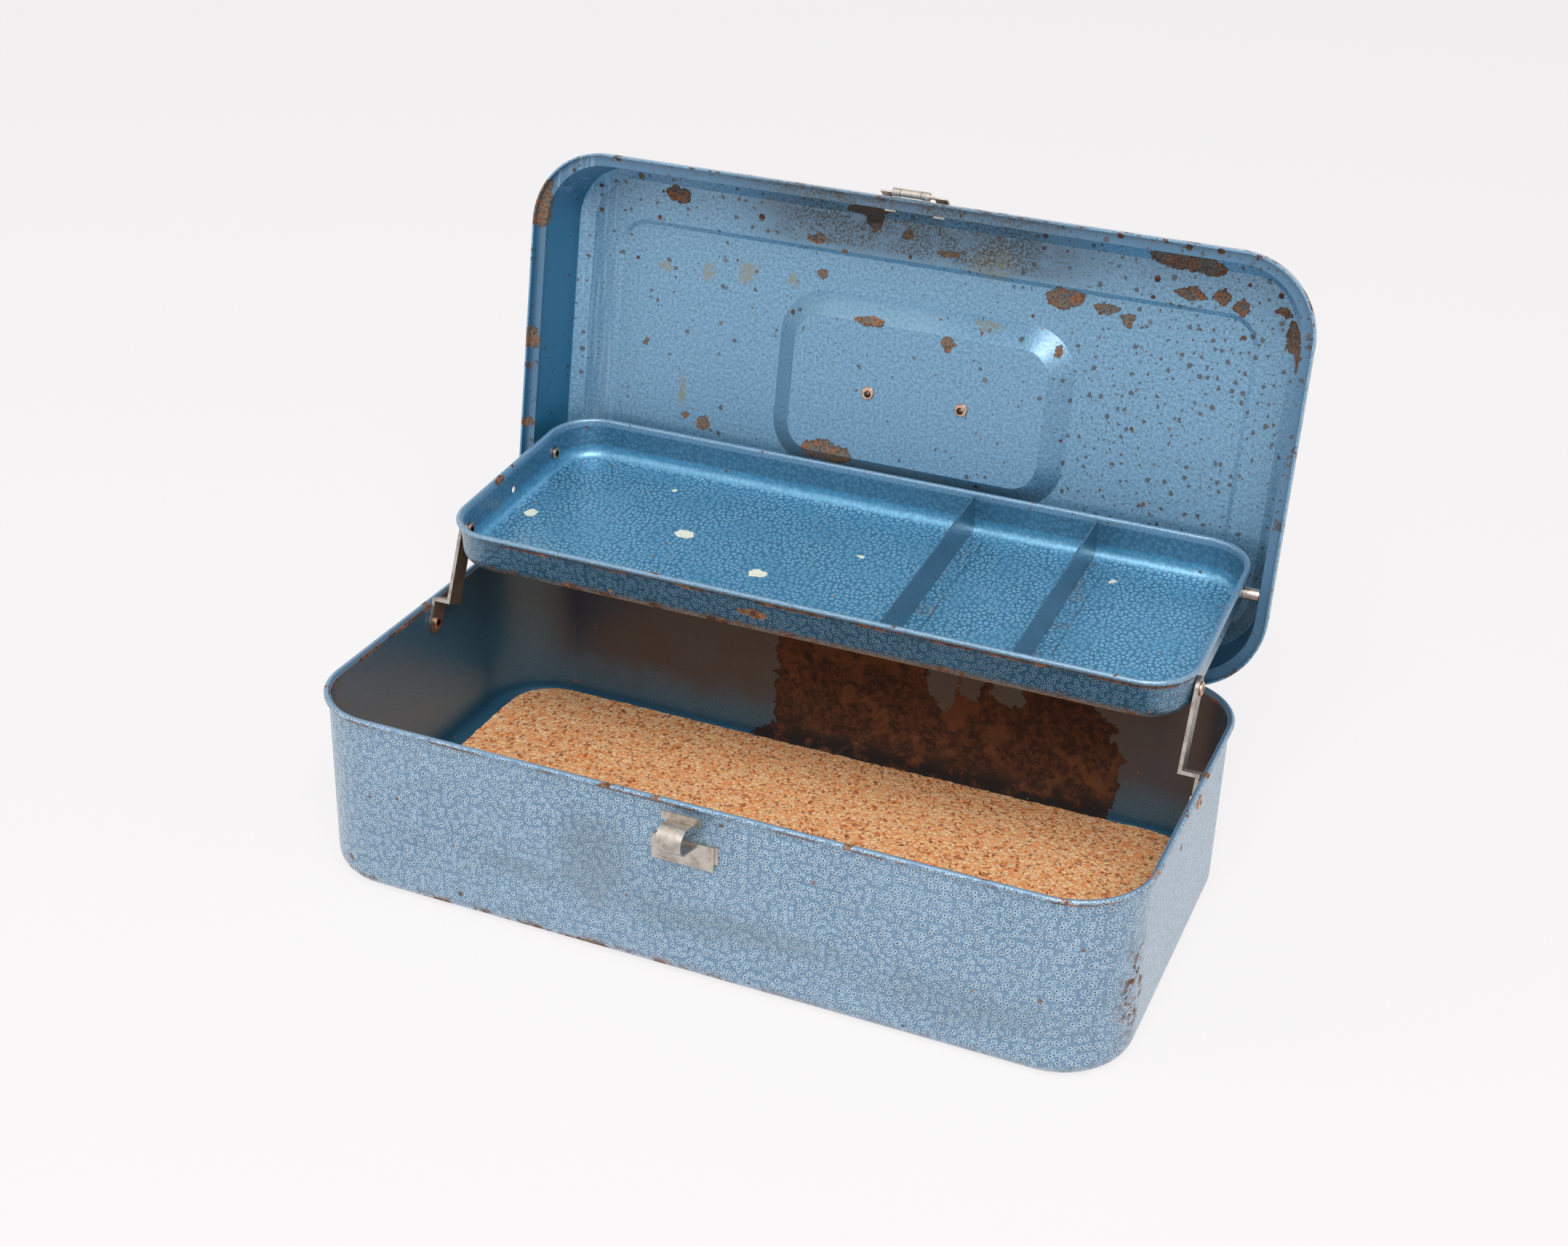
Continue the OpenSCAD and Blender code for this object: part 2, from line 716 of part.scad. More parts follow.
// Tubular rivets through the saddle feet, closed on the inside of the lid
module handle_rivets() {
    color("darkgoldenrod")
        on_open_lid()
            for (side = [-1, 1])
                translate([recess_right + side * handle_rivet_span / 2, handle_rivet_y, recess_z])
                    rotate([0, 90, 0])
                        tubular_rivet(-saddle_thick, sheet);
}

// ---------- tray ----------

module tray_pan() {
    color("steelblue")
        on_tray()
            difference() {
                translate([0, 0, pivot_drop - tray_high])
                    pan(tray_len, tray_wid, tray_high, tray_corner, tray_bend);
                for (side = [-1, 1], end = [-1, 1])
                    translate([side * tray_wall_x, end * pivot_span / 2, 0])
                        rod_x(-3, 3, rivet_r + run_fit);
                // spare hole half way along each end wall
                for (side = [-1, 1])
                    translate([side * tray_wall_x, 0, 0]) rod_x(-3, 3, rivet_r + run_fit);
            }
}

// Divider: an upright sheet with round lower corners and a foot that lies on the tray floor
module divider(x) {
    low = pivot_drop - tray_high + sheet;
    high = tray_high - sheet - divider_drop;
    r = tray_bend - sheet + clear;
    half = tray_in_y - 0.1;
    foot = 7;
    color("steelblue")
        on_tray()
            translate([x, 0, low]) {
                rotate([90, 0, 90])
                    linear_extrude(sheet, center = true) {
                        translate([-half, r]) square([2 * half, high - r]);
                        translate([-half + r, 0]) square([2 * (half - r), high]);
                        for (end = [-1, 1])
                            translate([end * (half - r), r]) circle(r);
                    }
                translate([sheet / 2, -half + r + 2, 0])
                    cube([foot, 2 * (half - r - 2), sheet]);
            }
}
module tray_divider_left() { divider(divider_left_x); }
module tray_divider_right() { divider(divider_right_x); }

// ---------- rear pivots ----------

module pivot_spacer(side) {
    color("peru")
        on_open_lid()
            mirror([side < 0 ? 1 : 0, 0, 0])
                translate([0, rear_pivot_shut[0], rear_pivot_shut[1]])
                    difference() {
                        rod_x(tray_wall_x + seat, lid_wall_at_pivot - clear, spacer_r);
                        rod_x(tray_wall_x - 1, lid_wall_at_pivot + 1, rivet_r + 0.05);
                    }
}
module pivot_spacer_left() { pivot_spacer(-1); }
module pivot_spacer_right() { pivot_spacer(1); }

module pivot_rivets() {
    color("peru")
        on_open_lid()
            for (side = [0, 1])
                mirror([side, 0, 0])
                    translate([0, rear_pivot_shut[0], rear_pivot_shut[1]])
                        tubular_rivet(tray_in_x - clear, lid_wall_at_pivot + sheet + 0.35);
}

// ---------- links ----------

link_up_x = tray_wall_x + 2 * seat;               // inner face of the upper leg
link_low_x = base_in_x - seat - link_thick;       // inner face of the lower leg

// Flat bar along Z with round ends, seen along X, from one pivot to the other
module link(side) {
    r = link_wid / 2;
    span = link_long;
    color("gray")
        mirror([side < 0 ? 1 : 0, 0, 0])
            translate([0, link_foot[0], link_foot[1]])
                rotate([link_tilt - 90, 0, 0])
                    difference() {
                        union() {
                            rod_x(link_low_x, link_low_x + link_thick, r);
                            translate([link_low_x, -r, 0])
                                cube([link_thick, link_wid, joggle_up + link_thick]);
                            translate([link_up_x, -r, joggle_up])
                                cube([link_low_x + link_thick - link_up_x, link_wid, link_thick]);
                            translate([link_up_x, -r, joggle_up])
                                cube([link_thick, link_wid, span - joggle_up]);
                            translate([0, 0, span]) rod_x(link_up_x, link_up_x + link_thick, r);
                        }
                        rod_x(link_low_x - 1, link_low_x + 3, rivet_r + run_fit);
                        translate([0, 0, span])
                            rod_x(link_up_x - 1, link_up_x + 3, rivet_r + loose_fit);
                    }
}
module link_left() { link(-1); }
module link_right() { link(1); }

module link_lower_rivets() {
    color("gray")
        for (side = [0, 1])
            mirror([side, 0, 0])
                translate([0, link_foot[0], link_foot[1]])
                    tubular_rivet(link_low_x - seat, base_wall_x);
}

module link_upper_rivets() {
    color("peru")
        on_tray()
            for (side = [0, 1])
                mirror([side, 0, 0])
                    translate([0, -pivot_span / 2, 0])
                        tubular_rivet(tray_in_x - clear, link_up_x + link_thick + seat);
}

base_shell();
cork_mat();
catch_plate();
catch_spring();
hinge_base_leaf_left();
hinge_base_leaf_right();
hinge_pins();
lid_shell();
hinge_lid_leaf_left();
hinge_lid_leaf_right();
hasp_plate();
hasp_flap();
hasp_pin();
handle_bail();
handle_saddles();
handle_rivets();
tray_pan();
tray_divider_left();
tray_divider_right();
pivot_spacer_left();
pivot_spacer_right();
pivot_rivets();
link_left();
link_right();
link_lower_rivets();
link_upper_rivets();
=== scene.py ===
import json
import math

import bmesh
import bpy
from mathutils import Matrix, Vector, noise


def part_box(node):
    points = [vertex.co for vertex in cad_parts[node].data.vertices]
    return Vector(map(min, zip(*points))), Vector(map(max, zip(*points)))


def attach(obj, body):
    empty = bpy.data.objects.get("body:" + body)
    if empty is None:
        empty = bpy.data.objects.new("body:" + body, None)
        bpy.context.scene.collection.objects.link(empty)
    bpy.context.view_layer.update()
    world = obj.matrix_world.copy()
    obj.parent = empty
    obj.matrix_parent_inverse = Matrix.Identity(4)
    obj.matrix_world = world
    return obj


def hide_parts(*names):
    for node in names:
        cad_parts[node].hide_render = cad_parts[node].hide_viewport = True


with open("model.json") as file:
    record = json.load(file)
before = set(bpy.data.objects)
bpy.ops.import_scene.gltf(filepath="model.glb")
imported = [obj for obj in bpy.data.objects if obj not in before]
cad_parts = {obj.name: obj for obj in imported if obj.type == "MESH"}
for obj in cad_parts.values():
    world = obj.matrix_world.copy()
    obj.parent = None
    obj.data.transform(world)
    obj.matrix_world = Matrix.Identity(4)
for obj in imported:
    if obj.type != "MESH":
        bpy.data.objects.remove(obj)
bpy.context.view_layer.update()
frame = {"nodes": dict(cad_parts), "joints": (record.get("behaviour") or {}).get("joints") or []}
node = frame["nodes"]

# ---------------------------------------------------------------- studio
# A plain pale floor in a white surround, lit by a large softbox from the front right and a
# weak one from the left. The camera stands at the front right and looks down on the open box.

scene = bpy.context.scene
scene.view_settings.view_transform = "Standard"

look_at = Vector((-0.037222, 0.106486, 0.060))
away = 1.02688
turn, rise, tilt = math.radians(22.093), math.radians(27.387), math.radians(1.932)
back = Vector((math.sin(turn) * math.cos(rise), -math.cos(turn) * math.cos(rise), math.sin(rise)))
level_right = (-back).cross(Vector((0, 0, 1))).normalized()
level_up = level_right.cross(-back)
right = math.cos(tilt) * level_right + math.sin(tilt) * level_up
up = -math.sin(tilt) * level_right + math.cos(tilt) * level_up
stand = look_at + back * away

lens = bpy.data.cameras.new("camera")
lens.sensor_width = 36
lens.lens = 51.387
lens.shift_x = -0.00768
lens.shift_y = -0.00254
lens.clip_start = 0.01
camera = bpy.data.objects.new("camera", lens)
camera.matrix_world = Matrix((
    (right.x, up.x, back.x, stand.x),
    (right.y, up.y, back.y, stand.y),
    (right.z, up.z, back.z, stand.z),
    (0, 0, 0, 1)))
scene.collection.objects.link(camera)
scene.camera = camera


def put(tree, kind, sockets=None, **settings):
    """One node of a material, its sockets joined to other nodes' outputs or set to values."""
    made = tree.nodes.new(kind)
    for key, value in settings.items():
        setattr(made, key, value)
    for key, value in (sockets or {}).items():
        if isinstance(value, bpy.types.NodeSocket):
            tree.links.new(value, made.inputs[key])
        else:
            made.inputs[key].default_value = value
    return made


def calc(tree, operation, *values):
    return put(tree, "ShaderNodeMath", dict(enumerate(values)), operation=operation).outputs[0]


def seen_directly(tree):
    """1 for rays from the camera, from a mirror-like face or through glass."""
    path = put(tree, "ShaderNodeLightPath")
    direct = calc(tree, "MAXIMUM", path.outputs["Is Camera Ray"], path.outputs["Is Glossy Ray"])
    return calc(tree, "MAXIMUM", direct, path.outputs["Is Transmission Ray"])


backdrop = (0.955, 0.938, 0.943, 1)
surround = bpy.data.worlds.new("surround")
scene.world = surround
surround.use_nodes = True
air = surround.node_tree
air.nodes.clear()
fill = put(air, "ShaderNodeBackground", {"Color": (0.95, 0.97, 1.0, 1), "Strength": 0.43})
white = put(air, "ShaderNodeBackground", {"Color": backdrop, "Strength": 1.0})
either = put(air, "ShaderNodeMixShader", {0: seen_directly(air), 1: fill.outputs[0], 2: white.outputs[0]})
put(air, "ShaderNodeOutputWorld", {"Surface": either.outputs[0]})


def softbox(name, place, aim, size, watts, tint):
    lamp = bpy.data.lights.new(name, "AREA")
    lamp.shape = "RECTANGLE"
    lamp.size, lamp.size_y = size
    lamp.energy = watts
    lamp.color = tint
    held = bpy.data.objects.new(name, lamp)
    held.location = place
    held.rotation_euler = (Vector(aim) - Vector(place)).to_track_quat("-Z", "Y").to_euler()
    scene.collection.objects.link(held)


softbox("softbox_key", (0.45, -1.0, 1.5), (0, 0, 0.12), (1.2, 1.0), 29, (1.0, 0.985, 0.965))
softbox("softbox_left", (-1.3, -1.0, 0.9), (0, 0, 0.1), (1.0, 1.0), 4, (1.0, 0.99, 0.98))

floor_reach = 9
floor_gap = 0.0002
floor_mesh = bpy.data.meshes.new("floor")
sheet_of_paper = bmesh.new()
bmesh.ops.create_grid(sheet_of_paper, x_segments=1, y_segments=1, size=floor_reach)
sheet_of_paper.to_mesh(floor_mesh)
sheet_of_paper.free()
floor = bpy.data.objects.new("floor", floor_mesh)
floor.location = (0, 0, -floor_gap)
scene.collection.objects.link(floor)
paper = bpy.data.materials.new("studio_paper")
paper.use_nodes = True
tree = paper.node_tree
tree.nodes.clear()
plain = put(tree, "ShaderNodeBsdfDiffuse", {"Color": (0.86, 0.85, 0.855, 1)})
glow = put(tree, "ShaderNodeEmission", {"Color": backdrop, "Strength": 1.0})
share = calc(tree, "MULTIPLY", seen_directly(tree), 0.85)
shown = put(tree, "ShaderNodeMixShader", {0: share, 1: plain.outputs[0], 2: glow.outputs[0]})
put(tree, "ShaderNodeOutputMaterial", {"Surface": shown.outputs[0]})
floor.data.materials.append(paper)

# ---------------------------------------------------------------- base shell
# The base is one drawn sheet-steel pan with a rolled rim. Outside it wears the same sprayed
# hammertone enamel as the whole box: pale rings round dark dots, under a varnish. Inside the
# paint is thin; its back wall is painted grey as shade and reflection under the tray, and rusted through
# there from the middle to the right.


def finish(name, **settings):
    """A new material: itself, its node tree and its shader."""
    made = bpy.data.materials.new(name)
    made.use_nodes = True
    shader = made.node_tree.nodes["Principled BSDF"]
    for key, value in settings.items():
        shader.inputs[key.replace("_", " ")].default_value = value
    return made, made.node_tree, shader


def dress(names, material):
    for name in names:
        for held in node[name].material_slots:
            held.material = material


def cloud(tree, where, size, detail=3.0, rough=0.55):
    """Soft random patches about this size in metres, as a value near 0.5."""
    return put(tree, "ShaderNodeTexNoise", {"Vector": where, "Scale": 1 / size, "Detail": detail,
                                            "Roughness": rough}).outputs["Fac"]


def cells(tree, where, size, spread=1.0, **settings):
    """Voronoi cells about this size in metres, on a grid at spread 0 and at random at 1."""
    return put(tree, "ShaderNodeTexVoronoi", {"Vector": where, "Scale": 1 / size, "Randomness": spread},
               **settings).outputs


def ramp(tree, value, low, high, start=0.0, end=1.0):
    """Smooth step of a value from start at low to end at high."""
    return put(tree, "ShaderNodeMapRange", {"Value": value, "From Min": low, "From Max": high,
                                            "To Min": start, "To Max": end},
               interpolation_type="SMOOTHSTEP", clamp=True).outputs["Result"]


def patchy(tree, where, size, low, high, detail=3.0, rough=0.55):
    """Patches about this size: 0 where the noise lies under low and 1 where it lies over high."""
    return ramp(tree, cloud(tree, where, size, detail, rough), low, high)


def times(tree, *values):
    total = values[0]
    for value in values[1:]:
        total = calc(tree, "MULTIPLY", total, value)
    return total


def any_of(tree, *masks):
    total = masks[0]
    for mask in masks[1:]:
        total = calc(tree, "MAXIMUM", total, mask)
    return total


def blend(tree, share, first, second):
    """The first colour at share 0 and the second at share 1, each a colour or another node's output."""
    made = put(tree, "ShaderNodeMix", data_type="RGBA", clamp_factor=True)
    for key, value in ((0, share), (6, first), (7, second)):
        if isinstance(value, bpy.types.NodeSocket):
            tree.links.new(value, made.inputs[key])
        elif key == 0:
            made.inputs[0].default_value = value
        else:
            made.inputs[key].default_value = (*value, 1)
    return made.outputs[2]


def choose(tree, share, first, second):
    return put(tree, "ShaderNodeMix", {0: share, 2: first, 3: second}).outputs[0]


def split(tree, where):
    return put(tree, "ShaderNodeSeparateXYZ", {0: where}).outputs


def shaken(tree, where, size, reach):
    """The place, pushed about by noise, so that patches get ragged edges."""
    stir = put(tree, "ShaderNodeTexNoise", {"Vector": where, "Scale": 1 / size, "Detail": 5.0,
                                            "Roughness": 0.65})
    centred = put(tree, "ShaderNodeVectorMath", {0: stir.outputs["Color"], 1: (0.5, 0.5, 0.5)},
                  operation="SUBTRACT").outputs[0]
    scaled = put(tree, "ShaderNodeVectorMath", {0: centred, "Scale": reach}, operation="SCALE").outputs[0]
    return put(tree, "ShaderNodeVectorMath", {0: where, 1: scaled}, operation="ADD").outputs[0]


def nearness(tree, where, marks):
    """How far the place is from the nearest mark, where 1 is its edge. A mark is (middle, half-widths)."""
    nearest = None
    for middle, reach in marks:
        off = put(tree, "ShaderNodeVectorMath", {0: where, 1: middle}, operation="SUBTRACT").outputs[0]
        part = put(tree, "ShaderNodeVectorMath", {0: off, 1: reach}, operation="DIVIDE").outputs[0]
        far = put(tree, "ShaderNodeVectorMath", {0: part}, operation="LENGTH").outputs["Value"]
        nearest = far if nearest is None else calc(tree, "MINIMUM", nearest, far)
    return nearest


def spot(tree, where, middle, reach, soft=0.25):
    """1 inside an ellipsoid round middle with these half-widths, 0 outside."""
    return ramp(tree, nearness(tree, where, [(middle, reach)]), 1 + soft, 1 - soft)


def scattered(tree, flat, pitch, share, least, most):
    """Round specks, one in some cells of this pitch, with radii between least and most of the pitch."""
    spread = cells(tree, flat, pitch, voronoi_dimensions="2D")
    chance = split(tree, spread["Color"])
    wide = calc(tree, "ADD", least, times(tree, chance[1], chance[1], most - least))
    return times(tree, calc(tree, "LESS_THAN", chance[0], share),
                 ramp(tree, calc(tree, "SUBTRACT", spread["Distance"], wide), 0.015, -0.015))


def faces_out(tree, middle):
    """1 on the outside of a shell, 0 on its inside, told by which way the face looks from middle."""
    coords = put(tree, "ShaderNodeTexCoord").outputs
    off = put(tree, "ShaderNodeVectorMath", {0: coords["Object"], 1: middle}, operation="SUBTRACT").outputs[0]
    along = put(tree, "ShaderNodeVectorMath", {0: off, 1: coords["Normal"]},
                operation="DOT_PRODUCT").outputs["Value"]
    return calc(tree, "GREATER_THAN", along, 0.0)


def flattened(tree, where, normal):
    """The place squared to the nearest axis, so that a pattern lies flat in the sheet."""
    x, y, z = split(tree, where)
    nx, ny, nz = [calc(tree, "ABSOLUTE", part) for part in split(tree, normal)]
    sideways = calc(tree, "GREATER_THAN", nx, calc(tree, "MAXIMUM", ny, nz))
    level = calc(tree, "GREATER_THAN", nz, calc(tree, "MAXIMUM", nx, ny))
    first, second = choose(tree, sideways, x, y), choose(tree, level, z, y)
    return put(tree, "ShaderNodeCombineXYZ", {0: first, 1: second}).outputs[0]


def hammered(tree, flat, pitch):
    """The hammertone: (pale rings, dark dots, thin dark seams, height)."""
    stirred = shaken(tree, flat, pitch * 1.6, pitch * 0.3)
    drops = cells(tree, stirred, pitch, 0.85, voronoi_dimensions="2D")
    far = drops["Distance"]
    kind = split(tree, drops["Color"])
    ring = times(tree, ramp(tree, far, 0.12, 0.21), ramp(tree, far, 0.46, 0.32))
    dot = times(tree, ramp(tree, far, 0.20, 0.12), ramp(tree, kind[0], 0.10, 0.35))
    veins = cells(tree, stirred, pitch / 1.9, voronoi_dimensions="2D", feature="DISTANCE_TO_EDGE")["Distance"]
    seam = times(tree, ramp(tree, veins, 0.10, 0.02), ramp(tree, kind[1], 0.15, 0.6, 0.25, 1.0))
    height = calc(tree, "SUBTRACT", times(tree, ring, 0.6), calc(tree, "ADD", dot, times(tree, seam, 0.5)))
    return ring, dot, seam, height


def hammertone(tree, flat, pattern, quiet, bright, dark):
    """The enamel's colour: its body, its rings and its dots."""
    ring, dot, seam, _ = pattern
    tone = blend(tree, patchy(tree, flat, 0.0010, 0.36, 0.64, 2), [0.74 * part for part in quiet],
                 [1.20 * part for part in quiet])
    tone = blend(tree, ramp(tree, cloud(tree, flat, 0.045, 2), 0.35, 0.65, 0.0, 0.10), tone, bright)
    tone = blend(tree, times(tree, ring, 0.95), tone, bright)
    tone = blend(tree, times(tree, seam, 0.70), tone, dark)
    return blend(tree, dot, tone, [0.3 * part for part in dark])


def rust(tree, where):
    """Colour of rust on the steel: dark brown, tan and a little orange, mottled."""
    tone = blend(tree, patchy(tree, where, 0.0035, 0.35, 0.62, 4, 0.7),
                 (0.060, 0.026, 0.015), (0.26, 0.125, 0.070))
    return blend(tree, patchy(tree, where, 0.007, 0.56, 0.66), tone, (0.42, 0.17, 0.07))


def wear_through(tree, shader, worn, roughness, flake, gloss=0.9):
    """Enamel with aluminium flake under varnish, turning to rough bare steel or rust where worn."""
    whole = calc(tree, "SUBTRACT", 1.0, worn)
    tree.links.new(calc(tree, "ADD", roughness, times(tree, worn, 0.45)), shader.inputs["Roughness"])
    tree.links.new(times(tree, whole, flake), shader.inputs["Metallic"])
    tree.links.new(times(tree, whole, gloss), shader.inputs["Coat Weight"])


def emboss(tree, shader, height, strength, depth):
    """Relief of this depth in metres, on top of any that the shader has already."""
    bump = put(tree, "ShaderNodeBump", {"Height": height, "Strength": strength, "Distance": depth})
    if shader.inputs["Normal"].is_linked:
        tree.links.new(shader.inputs["Normal"].links[0].from_socket, bump.inputs["Normal"])
    tree.links.new(bump.outputs[0], shader.inputs["Normal"])


low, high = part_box("base_shell")
rim = high.z
half_x, half_y = high.x, -low.y

varnish = {"Coat_IOR": 1.75, "Coat_Roughness": 0.32, "Specular_IOR_Level": 0.5}
sprayed = (0.124, 0.252, 0.392), (0.405, 0.575, 0.720), (0.036, 0.066, 0.106)
hammer_pitch = 0.0022
enamel_relief = 0.00012
sheet_sag = 0.0012

enamel_out, tree, shader = finish("base_enamel", **varnish)
coords = put(tree, "ShaderNodeTexCoord").outputs
where = coords["Object"]
x, y, z = split(tree, where)
flat = flattened(tree, where, coords["Normal"])
pattern = hammered(tree, flat, hammer_pitch)
outside = faces_out(tree, (0, 0, 2 * rim))

# sprayed enamel outside
tone = hammertone(tree, flat, pattern, *sprayed)
smudged = shaken(tree, where, 0.03, 0.014)
smudges = any_of(
    tree,
    spot(tree, smudged, (-0.040, -half_y, 0.045), (0.016, 0.02, 0.022), 0.5),
    times(tree, spot(tree, smudged, (0.015, -half_y, 0.029), (0.055, 0.02, 0.007), 0.8), 0.9),
    times(tree, spot(tree, smudged, (-0.070, -half_y, 0.031), (0.022, 0.02, 0.004), 0.8), 0.8),
    times(tree, spot(tree, smudged, (0.115, -half_y, 0.024), (0.040, 0.02, 0.008), 0.8), 0.7))
tone = blend(tree, times(tree, smudges, 0.33), tone, (0.075, 0.105, 0.125))
ragged = shaken(tree, flat, 0.0035, 0.0030)
nick = scattered(tree, ragged, 0.013, ramp(tree, z, 0.04, 0.01, 0.13, 0.26), 0.03, 0.11)
foot = times(tree, ramp(tree, z, 0.0085, 0.0035), ramp(tree, x, 0.06, -0.02, 0.25, 1.0))
worn_foot = times(tree, foot, patchy(tree, where, 0.010, 0.45, 0.53, 5, 0.7))
at_rim = ramp(tree, z, rim - 0.0026, rim - 0.0014)
under_rim = times(tree, ramp(tree, z, rim - 0.0034, rim - 0.0026), ramp(tree, z, rim - 0.0009, rim - 0.0016))
rim_rust = any_of(tree, times(tree, at_rim, patchy(tree, where, 0.011, 0.615, 0.635, 6, 0.7)),
                  times(tree, under_rim, patchy(tree, where, 0.022, 0.48, 0.53, 5, 0.7)))
bled = times(tree, spot(tree, where, (half_x - 0.001, -half_y + 0.026, 0.034), (0.010, 0.009, 0.020), 0.5),
             patchy(tree, where, 0.0045, 0.50, 0.55, 4, 0.7))
bare = any_of(tree, times(tree, nick, 0.9), worn_foot, rim_rust, bled)
tone = blend(tree, bare, tone, rust(tree, where))
pale_foot = times(tree, ramp(tree, z, 0.0045, 0.0015), ramp(tree, x, -0.02, 0.06))
tone = blend(tree, pale_foot, tone, (0.36, 0.42, 0.47))

# thin paint inside; the back wall's upper part is painted grey as shade and reflection under the tray
back_wall_shade_grey = blend(tree, patchy(tree, where, 0.040, 0.35, 0.65, 4, 0.6),
                  (0.036, 0.045, 0.067), (0.032, 0.061, 0.104))
dull = blend(tree, patchy(tree, flat, 0.0011, 0.35, 0.65), (0.024, 0.120, 0.215), (0.040, 0.165, 0.285))
high_up = ramp(tree, calc(tree, "ADD", z, times(tree, cloud(tree, where, 0.03, 4), 0.02)), 0.022, 0.044)
back_wall_shade = times(tree, high_up, ramp(tree, y, half_y - 0.030, half_y - 0.008), ramp(tree, x, -0.162, -0.140))
dull = blend(tree, back_wall_shade, dull, back_wall_shade_grey)

# the rust that ate through the back wall, with islands of paint left in it
edge = shaken(tree, shaken(tree, where, 0.016, 0.022), 0.0045, 0.0055)
patch_place = nearness(tree, edge, [
    ((0.0, half_y, 0.030), (0.040, 0.05, 0.070)), ((0.045, half_y, 0.022), (0.060, 0.05, 0.040)),
    ((0.090, half_y, 0.030), (0.034, 0.05, 0.040)), ((-0.030, half_y, 0.006), (0.020, 0.05, 0.008))])
off_islands = ramp(tree, nearness(tree, edge, [
    ((0.041, half_y, 0.060), (0.007, 0.05, 0.017)), ((0.055, half_y, 0.063), (0.006, 0.05, 0.017)),
    ((0.071, half_y, 0.064), (0.009, 0.05, 0.015))]), 0.98, 1.02)
on_wall = ramp(tree, y, half_y - 0.028, half_y - 0.014)
patch = times(tree, ramp(tree, patch_place, 1.01, 0.99), off_islands, on_wall)
brink = times(tree, ramp(tree, patch_place, 0.93, 0.98), patch)
# The rust is darker towards the bottom of the patch.
dark_low_band = times(tree, ramp(tree, z, 0.022, 0.010), patchy(tree, where, 0.008, 0.38, 0.52, 4))
deep_rust = blend(tree, patchy(tree, where, 0.0030, 0.38, 0.64, 5, 0.75),
                  (0.032, 0.012, 0.007), (0.125, 0.045, 0.019))
deep_rust = blend(tree, ramp(tree, cloud(tree, where, 0.014, 4, 0.6), 0.52, 0.62, 0.0, 0.6),
                  deep_rust, (0.190, 0.072, 0.028))
deep_rust = blend(tree, dark_low_band, deep_rust, (0.020, 0.014, 0.012))
deep_rust = blend(tree, times(tree, brink, 0.6), deep_rust, (0.035, 0.016, 0.010))
dull = blend(tree, patch, dull, deep_rust)
specks = scattered(tree, shaken(tree, flat, 0.003, 0.002), 0.012, 0.16, 0.03, 0.09)
dull = blend(tree, times(tree, specks, 0.8), dull, rust(tree, where))
dull = blend(tree, at_rim, dull, (0.150, 0.275, 0.410))
dull = blend(tree, rim_rust, dull, rust(tree, where))

tree.links.new(blend(tree, outside, dull, tone), shader.inputs["Base Color"])
worn = choose(tree, outside, any_of(tree, patch, rim_rust), bare)
wear_through(tree, shader, worn, 0.44, 0.45, choose(tree, outside, 0.7, 0.9))
relief = calc(tree, "ADD", times(tree, pattern[3], choose(tree, outside, 0.3, 1.0)),
              times(tree, cloud(tree, where, 0.0009, 4, 0.7), 0.5))
emboss(tree, shader, calc(tree, "SUBTRACT", relief, times(tree, worn, 0.8)), 0.6, enamel_relief)
side_dent = spot(tree, where, (half_x, 0.0, 0.045), (0.02, 0.012, 0.05), 0.8)
dents = calc(tree, "ADD", cloud(tree, where, 0.045, 1), times(tree, side_dent, 0.6))
emboss(tree, shader, dents, 0.4, sheet_sag)
dress(["base_shell"], enamel_out)

# ---------------------------------------------------------------- cork mat
# A sheet of pressed cork granulate with round corners, laid in loose. It stands a little higher
# than its plain solid and reaches further to the back and sides. The granules stand proud by a
# few tenths of a millimetre and the cut edge is crumbly.

low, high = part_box("cork_mat")
crumb = 0.0013
cork_corner = 0.024
corner_cuts = 9
top = high.z + 0.0019
half_long = high.x + 0.0016
half_deep = high.y + 0.0031
pushed_back = 0.0032
rounded_edge = ((0.0012, 1.0), (0.0012, 1.0), (0.0010, 0.995))
upright = sum(drop for drop, _ in rounded_edge)
undercut = 0.925
granule_relief = 0.00035
waviness = 0.0002
crumbled = 0.0007
crumbly_width = 0.0008
firm_foot = 0.003

mat = bmesh.new()
bmesh.ops.create_grid(mat, x_segments=round(2 * half_long / crumb),
                      y_segments=round(2 * half_deep / crumb), size=1)
bmesh.ops.scale(mat, vec=(half_long, half_deep, 1), verts=mat.verts)
for side_x in (-1, 1):
    for side_y in (-1, 1):
        middle = Vector((side_x * (half_long - cork_corner), side_y * (half_deep - cork_corner), 0))
        for step in range(corner_cuts):
            turned = math.radians(90 * (step + 0.5) / corner_cuts)
            outward = Vector((side_x * math.cos(turned), side_y * math.sin(turned), 0))
            bmesh.ops.bisect_plane(mat, geom=mat.verts[:] + mat.edges[:] + mat.faces[:], dist=1e-6,
                                   plane_co=middle + outward * cork_corner, plane_no=outward,
                                   clear_outer=True)
for drop, pull in (*rounded_edge, (top - low.z - upright, undercut)):
    edge = [e for e in mat.edges if e.is_boundary]
    pulled = bmesh.ops.extrude_edge_only(mat, edges=edge)
    skirt = [v for v in pulled["geom"] if isinstance(v, bmesh.types.BMVert)]
    bmesh.ops.translate(mat, verts=skirt, vec=(0, 0, -drop))
    bmesh.ops.scale(mat, verts=skirt, vec=(pull ** 0.5, pull, 1))
bmesh.ops.contextual_create(mat, geom=[e for e in mat.edges if e.is_boundary])
bmesh.ops.recalc_face_normals(mat, faces=mat.faces)
bmesh.ops.translate(mat, verts=mat.verts, vec=(0, pushed_back, top))
